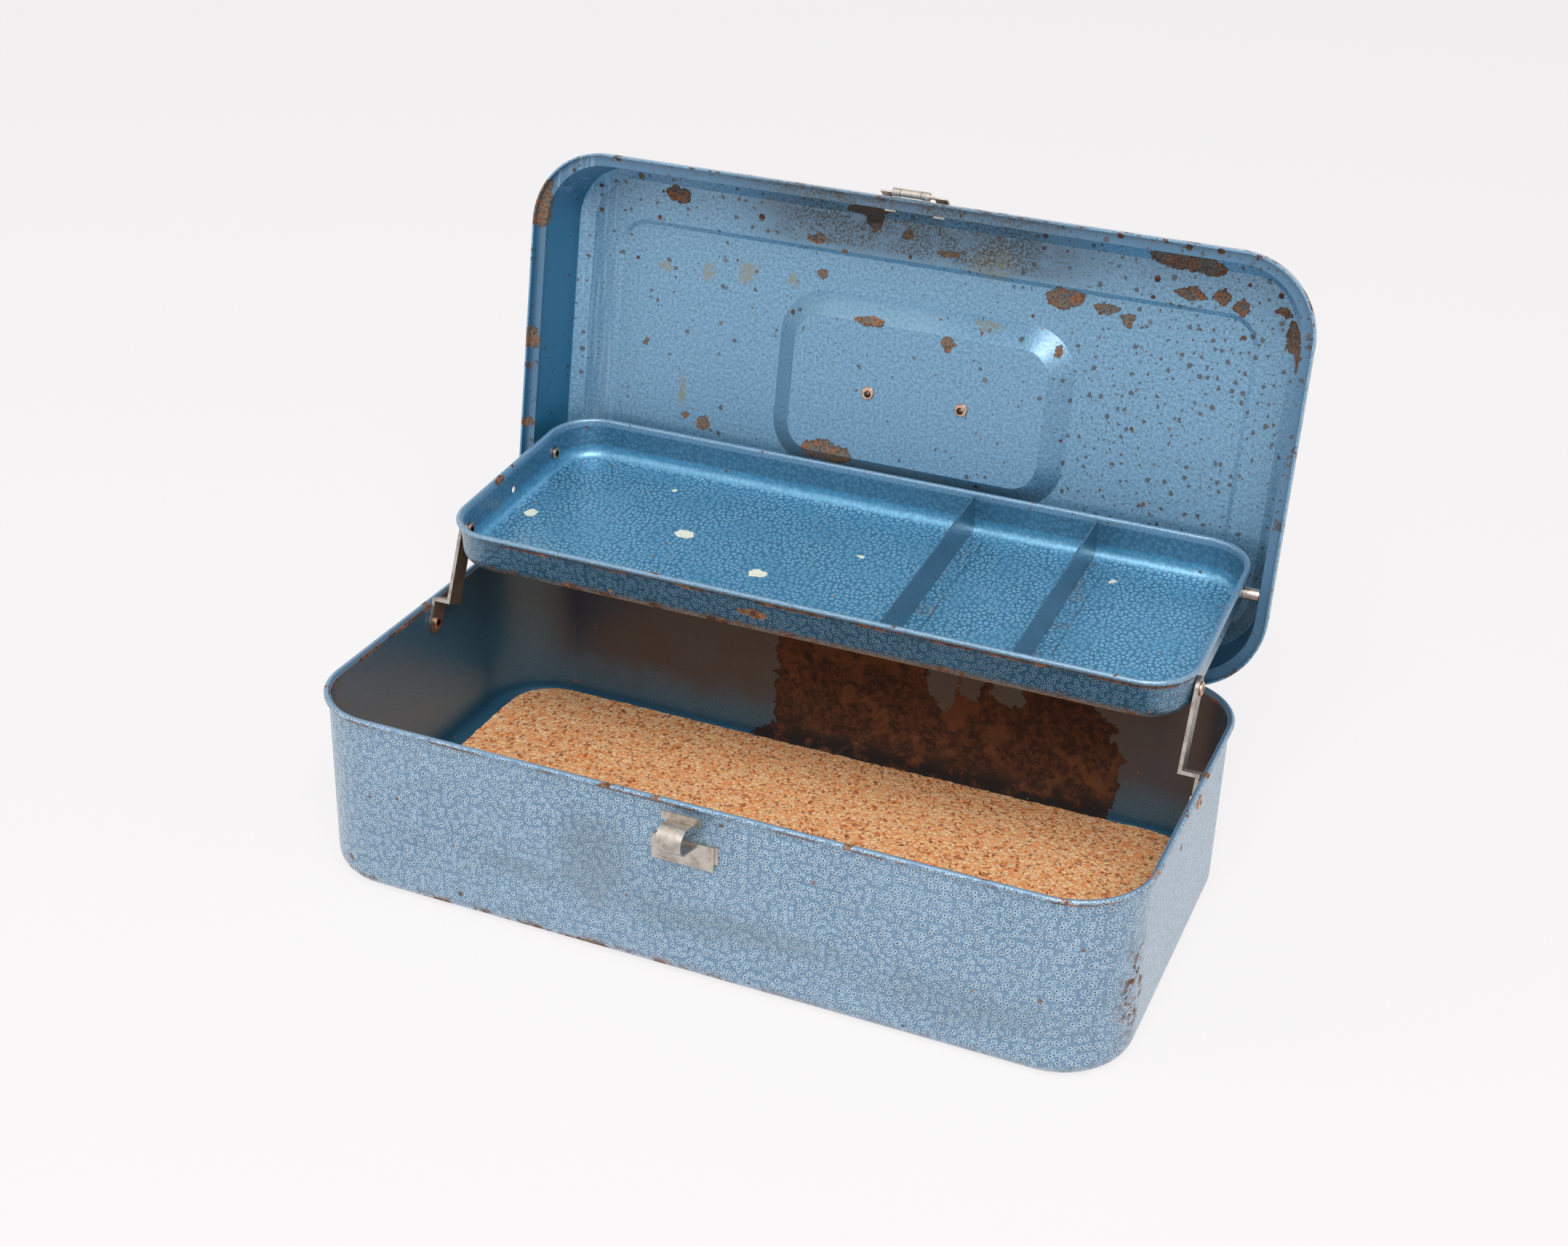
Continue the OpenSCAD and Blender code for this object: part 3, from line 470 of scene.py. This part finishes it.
for v in mat.verts:
    coarse = noise.noise(v.co * 330)
    fine = noise.noise(v.co * 800 + Vector((5, 1, 2)))
    if v.co.z > top - 0.0002:
        grains = granule_relief * (0.5 - 0.5 * coarse - 0.5 * fine)
        v.co.z -= grains + waviness * (noise.noise(v.co * 55) + 0.6)
    rim_near = min(half_long - abs(v.co.x), half_deep - abs(v.co.y - pushed_back))
    if v.co.z > low.z + firm_foot and (rim_near < crumbly_width or v.co.z < top - 0.001):
        inward = Vector((-v.co.x, pushed_back - v.co.y, 0)).normalized()
        v.co += inward * crumbled * (1 + noise.noise(v.co * 260) + 0.7 * noise.noise(v.co * 620))
mat_mesh = bpy.data.meshes.new("cork_mat_granulate")
mat.to_mesh(mat_mesh)
mat.free()
cork_mat = bpy.data.objects.new("cork_mat_granulate", mat_mesh)
scene.collection.objects.link(cork_mat)

cork, tree, shader = finish("cork_granulate", Specular_IOR_Level=0.25, Roughness=0.9)
granule = 0.0024
fine_granule = 0.0013
where = put(tree, "ShaderNodeTexCoord").outputs["Object"]
stirred = shaken(tree, where, 0.003, 0.0012)
grain = split(tree, cells(tree, stirred, granule)["Color"])
small = split(tree, cells(tree, stirred, fine_granule)["Color"])
seams = cells(tree, stirred, granule, feature="DISTANCE_TO_EDGE")["Distance"]
tone = blend(tree, ramp(tree, grain[0], 0.10, 0.75), (0.960, 0.365, 0.128), (1.0, 0.560, 0.252))
tone = blend(tree, times(tree, ramp(tree, small[0], 0.35, 0.95), 0.80), tone, (1.0, 0.700, 0.420))
tone = blend(tree, times(tree, ramp(tree, small[1], 0.80, 0.95), 0.85), tone, (0.400, 0.098, 0.034))
tone = blend(tree, times(tree, ramp(tree, small[2], 0.975, 0.985), 0.7), tone, (0.12, 0.045, 0.022))
tone = blend(tree, times(tree, ramp(tree, seams, 0.08, 0.0), 0.55), tone, (0.450, 0.122, 0.040))
tree.links.new(tone, shader.inputs["Base Color"])
relief = calc(tree, "ADD", times(tree, ramp(tree, seams, 0.0, 0.25), 0.6),
              times(tree, cloud(tree, where, 0.0012), 0.8))
emboss(tree, shader, relief, 0.9, 0.0005)
cork_mat.data.materials.append(cork)
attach(cork_mat, "base")
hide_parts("cork_mat")

# ---------------------------------------------------------------- hinge leaves and pins
# Each rear hinge has a leaf spot-welded to the base and one to the lid, sprayed with the box
# and worn through to rust in patches. A bare steel pin joins them.

enamel_leaf, tree, shader = finish("hinge_enamel", **varnish)
coords = put(tree, "ShaderNodeTexCoord").outputs
where = coords["Object"]
flat = flattened(tree, where, coords["Normal"])
pattern = hammered(tree, flat, hammer_pitch)
tone = hammertone(tree, flat, pattern, (0.130, 0.245, 0.370), (0.300, 0.430, 0.560), (0.045, 0.075, 0.115))
bare = patchy(tree, where, 0.006, 0.55, 0.60, 5, 0.7)
tree.links.new(blend(tree, bare, tone, rust(tree, where)), shader.inputs["Base Color"])
wear_through(tree, shader, bare, 0.44, 0.45)
emboss(tree, shader, pattern[3], 0.5, enamel_relief)
dress(["hinge_base_leaf_left", "hinge_base_leaf_right",
       "hinge_lid_leaf_left", "hinge_lid_leaf_right"], enamel_leaf)


def worn_metal(name, clean, tarnish, dirt, roughness, patch=0.006):
    """Plated steel with tarnish clouds, fine rubbing marks and a little dirt."""
    made, tree, shader = finish(name, Metallic=1.0)
    where = put(tree, "ShaderNodeTexCoord").outputs["Object"]
    cloudy = cloud(tree, where, patch, 5, 0.65)
    marks = put(tree, "ShaderNodeMapping", {"Vector": where, "Scale": (1, 0.12, 1)}).outputs[0]
    rubbed = cloud(tree, marks, 0.0006, 2, 0.6)
    tone = blend(tree, ramp(tree, cloudy, 0.40, 0.66), clean, tarnish)
    tone = blend(tree, ramp(tree, cloud(tree, where, 0.0022, 4, 0.7), 0.63, 0.69, 0.0, 0.8), tone, dirt)
    tree.links.new(tone, shader.inputs["Base Color"])
    shine = calc(tree, "ADD", roughness, times(tree, calc(tree, "SUBTRACT", cloudy, 0.5), 0.35))
    shine = calc(tree, "ADD", shine, times(tree, calc(tree, "SUBTRACT", rubbed, 0.5), 0.25))
    tree.links.new(shine, shader.inputs["Roughness"])
    emboss(tree, shader, calc(tree, "ADD", rubbed, cloudy), 0.35, 0.00008)
    return made


dress(["hinge_pins"],
      worn_metal("pin_steel", (0.50, 0.47, 0.44), (0.30, 0.25, 0.21), (0.10, 0.06, 0.04), 0.42))

# ---------------------------------------------------------------- catch
# A nickel-plated plate folded double and tabbed through the front wall, and a spring strip
# that loops out of it and ends in a cross bar, which hooks over the bar of the hasp.

nickel = worn_metal("catch_nickel", (0.58, 0.535, 0.48), (0.40, 0.36, 0.32), (0.15, 0.11, 0.08), 0.40, 0.004)
dress(["catch_plate", "catch_spring"], nickel)

# ---------------------------------------------------------------- lid shell
# The lid is drawn like the base: a skirt that laps over its rim, leaning walls, and a raised
# panel with a hollow for the handle. Its inside has satin enamel with pin-holes, chipped at
# the front edge and round the hasp.

swing = [j for j in frame["joints"] if j["name"] == "lid_hinge"][0]
hinge = Vector(swing["pos_m"])
opened = math.radians(-swing["range_deg"][0])
shut_turn = Matrix.Rotation(opened, 3, "X")
shut_shift = hinge - shut_turn @ hinge
lid_root = hinge - shut_turn.inverted() @ hinge


def as_shut(tree, vector, kind="POINT"):
    """A place or a direction on the lid as if it were shut: x along, y front to back, z up."""
    return put(tree, "ShaderNodeMapping", {"Vector": vector, "Rotation": (opened, 0, 0)}
               | ({"Location": shut_shift} if kind == "POINT" else {}), vector_type=kind).outputs[0]


enamel_lid, tree, shader = finish("lid_enamel", **varnish)
coords = put(tree, "ShaderNodeTexCoord").outputs
where = as_shut(tree, coords["Object"])
x, y, z = split(tree, where)
across = calc(tree, "ABSOLUTE", x)
facing = as_shut(tree, coords["Normal"], "VECTOR")
levelness = calc(tree, "ABSOLUTE", split(tree, facing)[2])
flat = flattened(tree, where, facing)
pattern = hammered(tree, flat, hammer_pitch)
outside = faces_out(tree, lid_root)

# sprayed enamel outside
tone = hammertone(tree, flat, pattern, *sprayed)
near_edge = ramp(tree, z, 0.0835, 0.0815)
edge_wear = times(tree, near_edge, patchy(tree, where, 0.012, 0.575, 0.60, 6, 0.7))
nick = scattered(tree, shaken(tree, flat, 0.0035, 0.0030), 0.014, 0.16, 0.03, 0.10)
rubbed = any_of(tree, edge_wear, times(tree, nick, 0.9))
tone = blend(tree, rubbed, tone, rust(tree, where))

# satin enamel inside, with painted shade on its steep walls, the ledge and the hollow's right slope, and
# painted highlights on the hollow's left slopes and along the left wall
satin = blend(tree, patchy(tree, flat, 0.0013, 0.34, 0.66, 3, 0.6),
              (0.080, 0.215, 0.345), (0.165, 0.350, 0.520))
# A pale blue used for painted highlights.
painted_highlight_blue = (0.300, 0.480, 0.620)
# Painted shade: steep walls, and the hollow's slopes on the right, get a darker blue as their shaded side.
shade_steepness = ramp(tree, levelness, 0.75, 0.35)
shaded_outer_walls = any_of(tree, ramp(tree, across, 0.135, 0.150), ramp(tree, y, -0.070, -0.080))
shaded_right_slope = times(tree, ramp(tree, x, 0.040, 0.060), 0.6)
satin = blend(tree, times(tree, shade_steepness, any_of(tree, shaded_outer_walls, shaded_right_slope, 0.12), 0.95),
              satin, (0.008, 0.165, 0.300))
# Painted light: the hollow's left slopes are paled as if lit.
lit_hollow_left = times(tree, ramp(tree, x, -0.070, -0.062), ramp(tree, x, 0.030, 0.0),
                    ramp(tree, y, -0.045, -0.038), ramp(tree, y, 0.045, 0.038))
sloping = ramp(tree, levelness, 0.97, 0.86)
satin = blend(tree, times(tree, lit_hollow_left, sloping, 0.30), satin, painted_highlight_blue)
# Painted shadow: the ledge under the skirt is darkened as the skirt's shadow.
ledge_shade = times(tree, ramp(tree, z, 0.0850, 0.0840), ramp(tree, z, 0.0812, 0.0818))
satin = blend(tree, times(tree, ledge_shade, 0.85), satin, (0.022, 0.120, 0.230))
# Painted highlights: pale streaks along the left wall's facet stand in for crease highlights.
along = put(tree, "ShaderNodeMapping", {"Vector": where, "Scale": (1, 0.04, 0.3)}).outputs[0]
crease_highlights = times(tree, patchy(tree, along, 0.0016, 0.52, 0.66, 2), ramp(tree, x, -0.145, -0.152),
              ramp(tree, x, -0.168, -0.164))
satin = blend(tree, times(tree, crease_highlights, 0.55), satin, painted_highlight_blue)

# its stains, grime, pin-holes and specks
stain_places = nearness(tree, shaken(tree, where, 0.008, 0.009), [
    ((-0.125, -0.041, 0.114), (0.0032, 0.0028, 0.02)), ((-0.103, -0.042, 0.114), (0.0036, 0.0040, 0.02)),
    ((-0.084, -0.045, 0.114), (0.0050, 0.0048, 0.02)), ((-0.075, -0.078, 0.112), (0.0030, 0.0024, 0.02)),
    ((0.032, -0.039, 0.112), (0.0060, 0.0020, 0.02)), ((0.030, -0.066, 0.113), (0.0090, 0.0070, 0.02)),
    ((-0.112, 0.016, 0.114), (0.0026, 0.0070, 0.02)), ((-0.062, -0.044, 0.114), (0.0026, 0.0026, 0.02))])
stains = times(tree, ramp(tree, stain_places, 1.5, 0.4),
               patchy(tree, where, 0.0022, 0.38, 0.54, 4, 0.75), 0.85)
satin = blend(tree, stains, satin, (0.200, 0.190, 0.110))
band = times(tree, ramp(tree, y, -0.058, -0.066),
             ramp(tree, calc(tree, "ABSOLUTE", calc(tree, "ADD", x, 0.005)), 0.095, 0.045))
grime = times(tree, band, patchy(tree, flat, 0.0013, 0.40, 0.56, 4, 0.75),
              ramp(tree, cloud(tree, flat, 0.012), 0.30, 0.55, 0.55, 1.0))
satin = blend(tree, times(tree, grime, 0.9), satin, (0.062, 0.057, 0.047))
soot = times(tree, band, scattered(tree, shaken(tree, flat, 0.0016, 0.0018), 0.0019, 0.42, 0.10, 0.34))
satin = blend(tree, times(tree, soot, 0.85), satin, (0.045, 0.036, 0.028))
crowd_right = times(tree, ramp(tree, x, 0.055, 0.085), ramp(tree, x, 0.165, 0.130, 0.45, 1.0),
                    ramp(tree, y, 0.050, 0.015, 0.45, 1.0))
crowd = any_of(tree, crowd_right, ramp(tree, x, -0.09, -0.14, 0.0, 0.25),
               ramp(tree, y, -0.045, -0.07, 0.0, 0.4))
pits = scattered(tree, shaken(tree, flat, 0.0013, 0.0034), 0.0040,
                 ramp(tree, crowd, 0.0, 1.0, 0.05, 0.68), 0.07, 0.30)
dots = scattered(tree, shaken(tree, flat, 0.0014, 0.0010), 0.0026,
                 ramp(tree, crowd, 0.0, 1.0, 0.10, 0.38), 0.05, 0.18)
satin = blend(tree, times(tree, any_of(tree, pits, dots), 0.88), satin, (0.030, 0.031, 0.034))
freckles = scattered(tree, shaken(tree, flat, 0.0018, 0.0012), 0.0046,
                     ramp(tree, x, 0.03, 0.09, 0.16, 0.05), 0.03, 0.10)
satin = blend(tree, times(tree, freckles, 0.8), satin, (0.130, 0.062, 0.045))
blot = scattered(tree, shaken(tree, flat, 0.0022, 0.0022), 0.016,
                 ramp(tree, x, 0.0, 0.12, 0.14, 0.40), 0.03, 0.085)
satin = blend(tree, times(tree, blot, 0.85), satin, (0.085, 0.090, 0.095))

# chips, each with a dark edge round a grey, tan or orange middle
rough_edge = shaken(tree, shaken(tree, shaken(tree, where, 0.010, 0.009), 0.0030, 0.0034), 0.0012, 0.0012)
flakes = [
    ((-0.0995, 0.0285, 0.114), (0.0034, 0.0036, 0.01)), ((-0.109, 0.026, 0.114), (0.0026, 0.0018, 0.01)),
    ((-0.035, 0.029, 0.108), (0.012, 0.0055, 0.01)), ((-0.120, -0.075, 0.113), (0.0060, 0.0040, 0.01)),
    ((-0.0285, -0.081, 0.110), (0.0105, 0.0035, 0.01)), ((-0.025, -0.077, 0.112), (0.0040, 0.0045, 0.01)),
    ((0.024, -0.086, 0.095), (0.010, 0.006, 0.012)), ((-0.052, -0.065, 0.113), (0.0045, 0.0022, 0.01)),
    ((-0.021, -0.033, 0.108), (0.0065, 0.0028, 0.01)), ((0.0165, -0.029, 0.107), (0.0032, 0.0032, 0.01)),
    ((0.064, -0.056, 0.114), (0.0090, 0.0038, 0.01)), ((0.083, -0.055, 0.114), (0.0060, 0.0022, 0.01)),
    ((0.0925, -0.051, 0.114), (0.0026, 0.0034, 0.01)), ((0.109, -0.080, 0.112), (0.0110, 0.0045, 0.01)),
    ((0.122, -0.0785, 0.113), (0.0100, 0.0042, 0.01)), ((0.1175, -0.0665, 0.113), (0.0070, 0.0028, 0.01)),
    ((0.131, -0.067, 0.113), (0.0034, 0.0034, 0.01)), ((0.140, -0.064, 0.113), (0.0034, 0.0030, 0.01)),
    ((0.162, -0.055, 0.112), (0.0036, 0.0075, 0.02)), ((0.166, -0.047, 0.111), (0.0024, 0.0060, 0.02)),
    ((0.1575, -0.0645, 0.113), (0.0034, 0.0024, 0.01)), ((0.100, -0.088, 0.100), (0.014, 0.006, 0.008)),
    ((0.058, -0.087, 0.100), (0.006, 0.006, 0.006)), ((0.0645, -0.033, 0.111), (0.0020, 0.0030, 0.01)),
    ((-0.133, -0.005, 0.114), (0.0014, 0.0022, 0.01)), ((-0.0485, -0.0485, 0.114), (0.0028, 0.0022, 0.01)),
    ((0.010, -0.066, 0.113), (0.0050, 0.0014, 0.01)), ((-0.009, -0.0725, 0.113), (0.0026, 0.0016, 0.01)),
    ((-0.1735, -0.069, 0.081), (0.0060, 0.014, 0.006)), ((-0.1745, -0.0045, 0.082), (0.0040, 0.0045, 0.006)),
    ((-0.1745, 0.035, 0.082), (0.0035, 0.0016, 0.006))]
near = nearness(tree, rough_edge, flakes)
crowd_front = times(tree, ramp(tree, x, 0.09, 0.12), ramp(tree, y, -0.045, -0.06), 0.7)
crumbs = scattered(tree, shaken(tree, flat, 0.0022, 0.0022), 0.010,
                   any_of(tree, ramp(tree, y, -0.03, -0.08, 0.03, 0.36), crowd_front), 0.05, 0.15)
lip = times(tree, near_edge, patchy(tree, where, 0.011, 0.615, 0.635, 6, 0.7))
chips = any_of(tree, ramp(tree, near, 1.02, 0.98), crumbs, lip)
under = blend(tree, patchy(tree, where, 0.011, 0.47, 0.53, 3, 0.6),
              (0.190, 0.125, 0.085), (0.140, 0.130, 0.115))
under = blend(tree, patchy(tree, where, 0.0050, 0.51, 0.57, 4, 0.7), under, (0.290, 0.115, 0.052))
under = blend(tree, ramp(tree, cloud(tree, where, 0.0013, 3, 0.7), 0.46, 0.60, 0.0, 0.8),
              under, (0.062, 0.042, 0.034))
scorched = ramp(tree, cloud(tree, where, 0.0032), 0.42, 0.58, 0.25, 1.0)
under = blend(tree, times(tree, ramp(tree, near, 0.80, 1.0), scorched, 0.8), under, (0.060, 0.028, 0.019))
tabs = nearness(tree, where, [
    ((-0.028, -0.082, 0.108), (0.016, 0.008, 0.012)), ((0.022, -0.087, 0.096), (0.016, 0.010, 0.02))])
under = blend(tree, times(tree, ramp(tree, tabs, 1.1, 0.9), 0.75), under, (0.035, 0.028, 0.026))
satin = blend(tree, chips, satin, under)

tree.links.new(blend(tree, outside, satin, tone), shader.inputs["Base Color"])
worn = choose(tree, outside, any_of(tree, chips, times(tree, grime, 0.6)), rubbed)
wear_through(tree, shader, worn, 0.43, 0.5)
relief = calc(tree, "ADD", times(tree, pattern[3], choose(tree, outside, 0.12, 1.0)),
              times(tree, cloud(tree, where, 0.0010, 4, 0.7), 0.5))
emboss(tree, shader, calc(tree, "SUBTRACT", relief, times(tree, any_of(tree, worn, pits), 0.8)),
       0.6, enamel_relief)
emboss(tree, shader, cloud(tree, where, 0.05, 1), 0.35, sheet_sag)
dress(["lid_shell"], enamel_lid)

# ---------------------------------------------------------------- hasp, handle and its saddles
# The hasp plate is tabbed through the lid's front wall and carries the flap on a thin pin.
# The handle is a bent wire bail in two folded saddles, each riveted through the hollow.

dress(["hasp_plate", "hasp_flap"], nickel)
dress(["hasp_pin"],
      worn_metal("hasp_pin_steel", (0.60, 0.58, 0.55), (0.40, 0.37, 0.34), (0.15, 0.10, 0.07), 0.38))
dress(["handle_bail", "handle_saddles"],
      worn_metal("handle_nickel", (0.68, 0.66, 0.62), (0.46, 0.42, 0.38), (0.18, 0.12, 0.08), 0.34, 0.009))

# ---------------------------------------------------------------- tray
# A shallow drawn pan in the same blue: leather-like cells with darker veins on its floor and
# a rim bead with a few rust spots. Its outside is darker, with the hammertone's rings and dots.
# Its inner walls and dividers are painted darker as shade, and its rim bead and the dividers' top edges paler
# as highlight.

low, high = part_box("tray_pan")
tray_middle = (low + high) / 2
tray_slope = math.radians(4.5)
bead = 0.0036
ridge = high.z - tray_middle.z - 0.0048
pan_floor = low.z - tray_middle.z
front_wall = low.y - tray_middle.y


def on_tray(tree, vector, kind="POINT"):
    """A place or a direction on the tray as if it stood level, from the middle of its pan."""
    if kind == "POINT":
        vector = put(tree, "ShaderNodeVectorMath", {0: vector, 1: tray_middle},
                     operation="SUBTRACT").outputs[0]
    return put(tree, "ShaderNodeMapping", {"Vector": vector, "Rotation": (-tray_slope, 0, 0)},
               vector_type=kind).outputs[0]


def leather(tree, flat, pitch):
    """Puffed cells with darker veins: (vein, puff, cell tone)."""
    stirred = shaken(tree, flat, pitch * 1.3, pitch * 0.55)
    puffs = cells(tree, stirred, pitch, voronoi_dimensions="2D")
    gap = cells(tree, stirred, pitch, voronoi_dimensions="2D", feature="DISTANCE_TO_EDGE")["Distance"]
    vein = ramp(tree, gap, 0.15, 0.02)
    puff = ramp(tree, puffs["Distance"], 0.60, 0.10)
    return vein, puff, split(tree, puffs["Color"])[0]


def tray_paint(name, part):
    """The tray's enamel, for its pan or for a divider."""
    made, tree, shader = finish(name, **varnish)
    coords = put(tree, "ShaderNodeTexCoord").outputs
    where = on_tray(tree, coords["Object"])
    z = split(tree, where)[2]
    facing = on_tray(tree, coords["Normal"], "VECTOR")
    flat = flattened(tree, where, facing)
    level = ramp(tree, split(tree, facing)[2], 0.80, 0.97)
    vein, puff, cell = leather(tree, flat, 0.0023)
    floor_tone = blend(tree, cell, (0.044, 0.240, 0.410), (0.072, 0.315, 0.505))
    loud = ramp(tree, cloud(tree, flat, 0.022), 0.36, 0.60, 0.55, 1.0)
    if part == "pan":
        on_floor = ramp(tree, z, pan_floor + 0.0125, pan_floor + 0.0095)
        # Painted shade: the pan's inner walls get a darker copy of the floor's blue.
        tone = blend(tree, cell, (0.018, 0.112, 0.200), (0.030, 0.148, 0.250))
        tone = blend(tree, on_floor, tone, floor_tone)
        loud = times(tree, loud, ramp(tree, times(tree, on_floor, level), 0.0, 1.0, 0.22, 1.0))
    else:
        foot_flange = times(tree, level, ramp(tree, z, 0.0, -0.004))
        # Painted shade: the divider's faces are a darker copy of the floor's blue; its foot takes the floor's
        # blue.
        tone = blend(tree, cell, (0.012, 0.075, 0.140), (0.020, 0.100, 0.175))
        tone = blend(tree, foot_flange, tone, floor_tone)
        loud = times(tree, loud, ramp(tree, foot_flange, 0.0, 1.0, 0.2, 1.0))
    tone = blend(tree, times(tree, puff, loud, 0.95), tone, (0.250, 0.560, 0.770))
    tone = blend(tree, times(tree, vein, loud, 0.95), tone, (0.010, 0.088, 0.185))
    worn = times(tree, scattered(tree, shaken(tree, flat, 0.0025, 0.0022), 0.014, 0.10, 0.03, 0.085), 0.85)
    relief = times(tree, calc(tree, "SUBTRACT", puff, vein), loud)
    if part == "pan":
        outside = faces_out(tree, tray_middle + Vector((0, 0, 0.1)))
        pattern = hammered(tree, flat, hammer_pitch)
        drab = hammertone(tree, flat, pattern,
                          (0.024, 0.122, 0.222), (0.140, 0.310, 0.460), (0.006, 0.018, 0.032))
        tone = blend(tree, outside, tone, drab)
        relief = choose(tree, outside, relief, pattern[3])
        at_bead = ramp(tree, z, ridge - bead, ridge - bead + 0.0012)
        # Painted highlight: the rim bead is a paler blue.
        bead_highlight_tone = blend(tree, patchy(tree, flat, 0.0012, 0.35, 0.65),
                          (0.11, 0.24, 0.37), (0.20, 0.36, 0.50))
        tone = blend(tree, at_bead, tone, bead_highlight_tone)
        spots = [
            ((-0.120, 0.052, ridge), (0.007, 0.004, 0.004)), ((-0.062, -0.056, ridge), (0.004, 0.004, 0.004)),
            ((-0.160, -0.010, ridge), (0.004, 0.005, 0.004)), ((0.020, 0.055, ridge), (0.003, 0.003, 0.004)),
            ((0.062, 0.055, ridge), (0.004, 0.003, 0.004)), ((0.006, -0.056, ridge), (0.005, 0.003, 0.004)),
            ((0.094, -0.056, ridge), (0.004, 0.003, 0.004)), ((0.158, 0.020, ridge), (0.003, 0.006, 0.004))]
        uneven = shaken(tree, where, 0.006, 0.006)
        bead_rust = any_of(tree, ramp(tree, nearness(tree, uneven, spots), 1.03, 0.97),
                           patchy(tree, where, 0.009, 0.63, 0.65, 6, 0.7))
        under_bead = times(tree, ramp(tree, z, ridge - bead - 0.0016, ridge - bead),
                           ramp(tree, z, ridge - bead + 0.0012, ridge - bead), outside,
                           patchy(tree, where, 0.016, 0.46, 0.52, 5, 0.7))
        scuff = spot(tree, uneven, (-0.018, front_wall + 0.004, 0.0), (0.007, 0.01, 0.0018), 0.1)
        foot = times(tree, ramp(tree, z, -ridge + 0.0055, -ridge + 0.0035), outside,
                     patchy(tree, where, 0.012, 0.54, 0.58, 6, 0.7))
        worn = any_of(tree, worn, times(tree, at_bead, bead_rust), under_bead, foot,
                      times(tree, scuff, outside))
        tone = blend(tree, worn, tone, rust(tree, where))
        cream = shaken(tree, shaken(tree, where, 0.0050, 0.0060), 0.0016, 0.0012)
        drop_places = nearness(tree, cream, [
            ((-0.1517, -0.003, -0.008), (0.0031, 0.0036, 0.012)),
            ((-0.0796, 0.006, -0.008), (0.0050, 0.0034, 0.012)),
            ((-0.0356, -0.013, -0.008), (0.0046, 0.0032, 0.012)),
            ((-0.1014, 0.041, -0.008), (0.0013, 0.0014, 0.012)),
            ((0.0, 0.018, -0.008), (0.0016, 0.0016, 0.012)),
            ((0.107, 0.040, -0.008), (0.0013, 0.0015, 0.012))])
        drops = times(tree, ramp(tree, drop_places, 1.06, 0.94), calc(tree, "SUBTRACT", 1.0, outside))
        tone = blend(tree, drops, tone, (0.78, 0.79, 0.66))
        worn = any_of(tree, worn, drops)
    else:
        foot = times(tree, ramp(tree, z, -0.0082, -0.0096), patchy(tree, where, 0.010, 0.53, 0.58, 5, 0.7))
        worn = any_of(tree, worn, foot)
        # Painted highlight: the divider's top edge is paler.
        tone = blend(tree, times(tree, ramp(tree, z, 0.0098, 0.0112), 0.6), tone, (0.20, 0.36, 0.50))
        tone = blend(tree, worn, tone, rust(tree, where))
    tree.links.new(tone, shader.inputs["Base Color"])
    wear_through(tree, shader, worn, 0.42, 0.5)
    emboss(tree, shader, calc(tree, "SUBTRACT", relief, worn), 0.7, 0.00018)
    return made


dress(["tray_pan"], tray_paint("tray_enamel", "pan"))
dress(["tray_divider_left", "tray_divider_right"], tray_paint("divider_enamel", "divider"))

# ---------------------------------------------------------------- links, spacers and rivets
# Two flat steel links carry the front of the tray. The rear hangs on copper-washed tubular
# rivets with spacer tubes through the lid's ends; the links' rivets are the same kind.

dress(["link_left", "link_right"],
      worn_metal("link_steel", (0.40, 0.37, 0.335), (0.25, 0.22, 0.195), (0.13, 0.085, 0.06), 0.46, 0.005))


def hollow_rivet(name, along):
    """Copper-washed tubular rivets whose bores, along x or y, are painted dark as shade."""
    made = worn_metal(name + "_copper", (0.72, 0.47, 0.35), (0.46, 0.26, 0.18),
                      (0.12, 0.055, 0.035), 0.36, 0.003)
    tree = made.node_tree
    shader = tree.nodes["Principled BSDF"]
    where = put(tree, "ShaderNodeTexCoord").outputs["Object"]
    low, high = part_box(name)
    middle = (low + high) / 2
    radius = (high.z - low.z) / 2
    bore = 0.5 * radius
    if along == "x":
        bores = [(middle, (1.0, bore, bore))]
    else:
        bores = [((side, middle.y, middle.z), (bore, 1.0, bore))
                 for side in (low.x + radius, high.x - radius)]
    # Painted shade: the rivets' bores are painted near-black.
    dark = ramp(tree, nearness(tree, where, bores), 1.15, 0.85)
    copper_tone = shader.inputs["Base Color"].links[0].from_socket
    tree.links.new(blend(tree, dark, copper_tone, (0.035, 0.016, 0.011)), shader.inputs["Base Color"])
    dress([name], made)


for name in ("pivot_rivets", "link_lower_rivets", "link_upper_rivets"):
    hollow_rivet(name, "x")
hollow_rivet("handle_rivets", "y")
dress(["pivot_spacer_left", "pivot_spacer_right"],
      worn_metal("spacer_copper", (0.76, 0.66, 0.58), (0.58, 0.47, 0.40), (0.25, 0.17, 0.13), 0.36, 0.004))
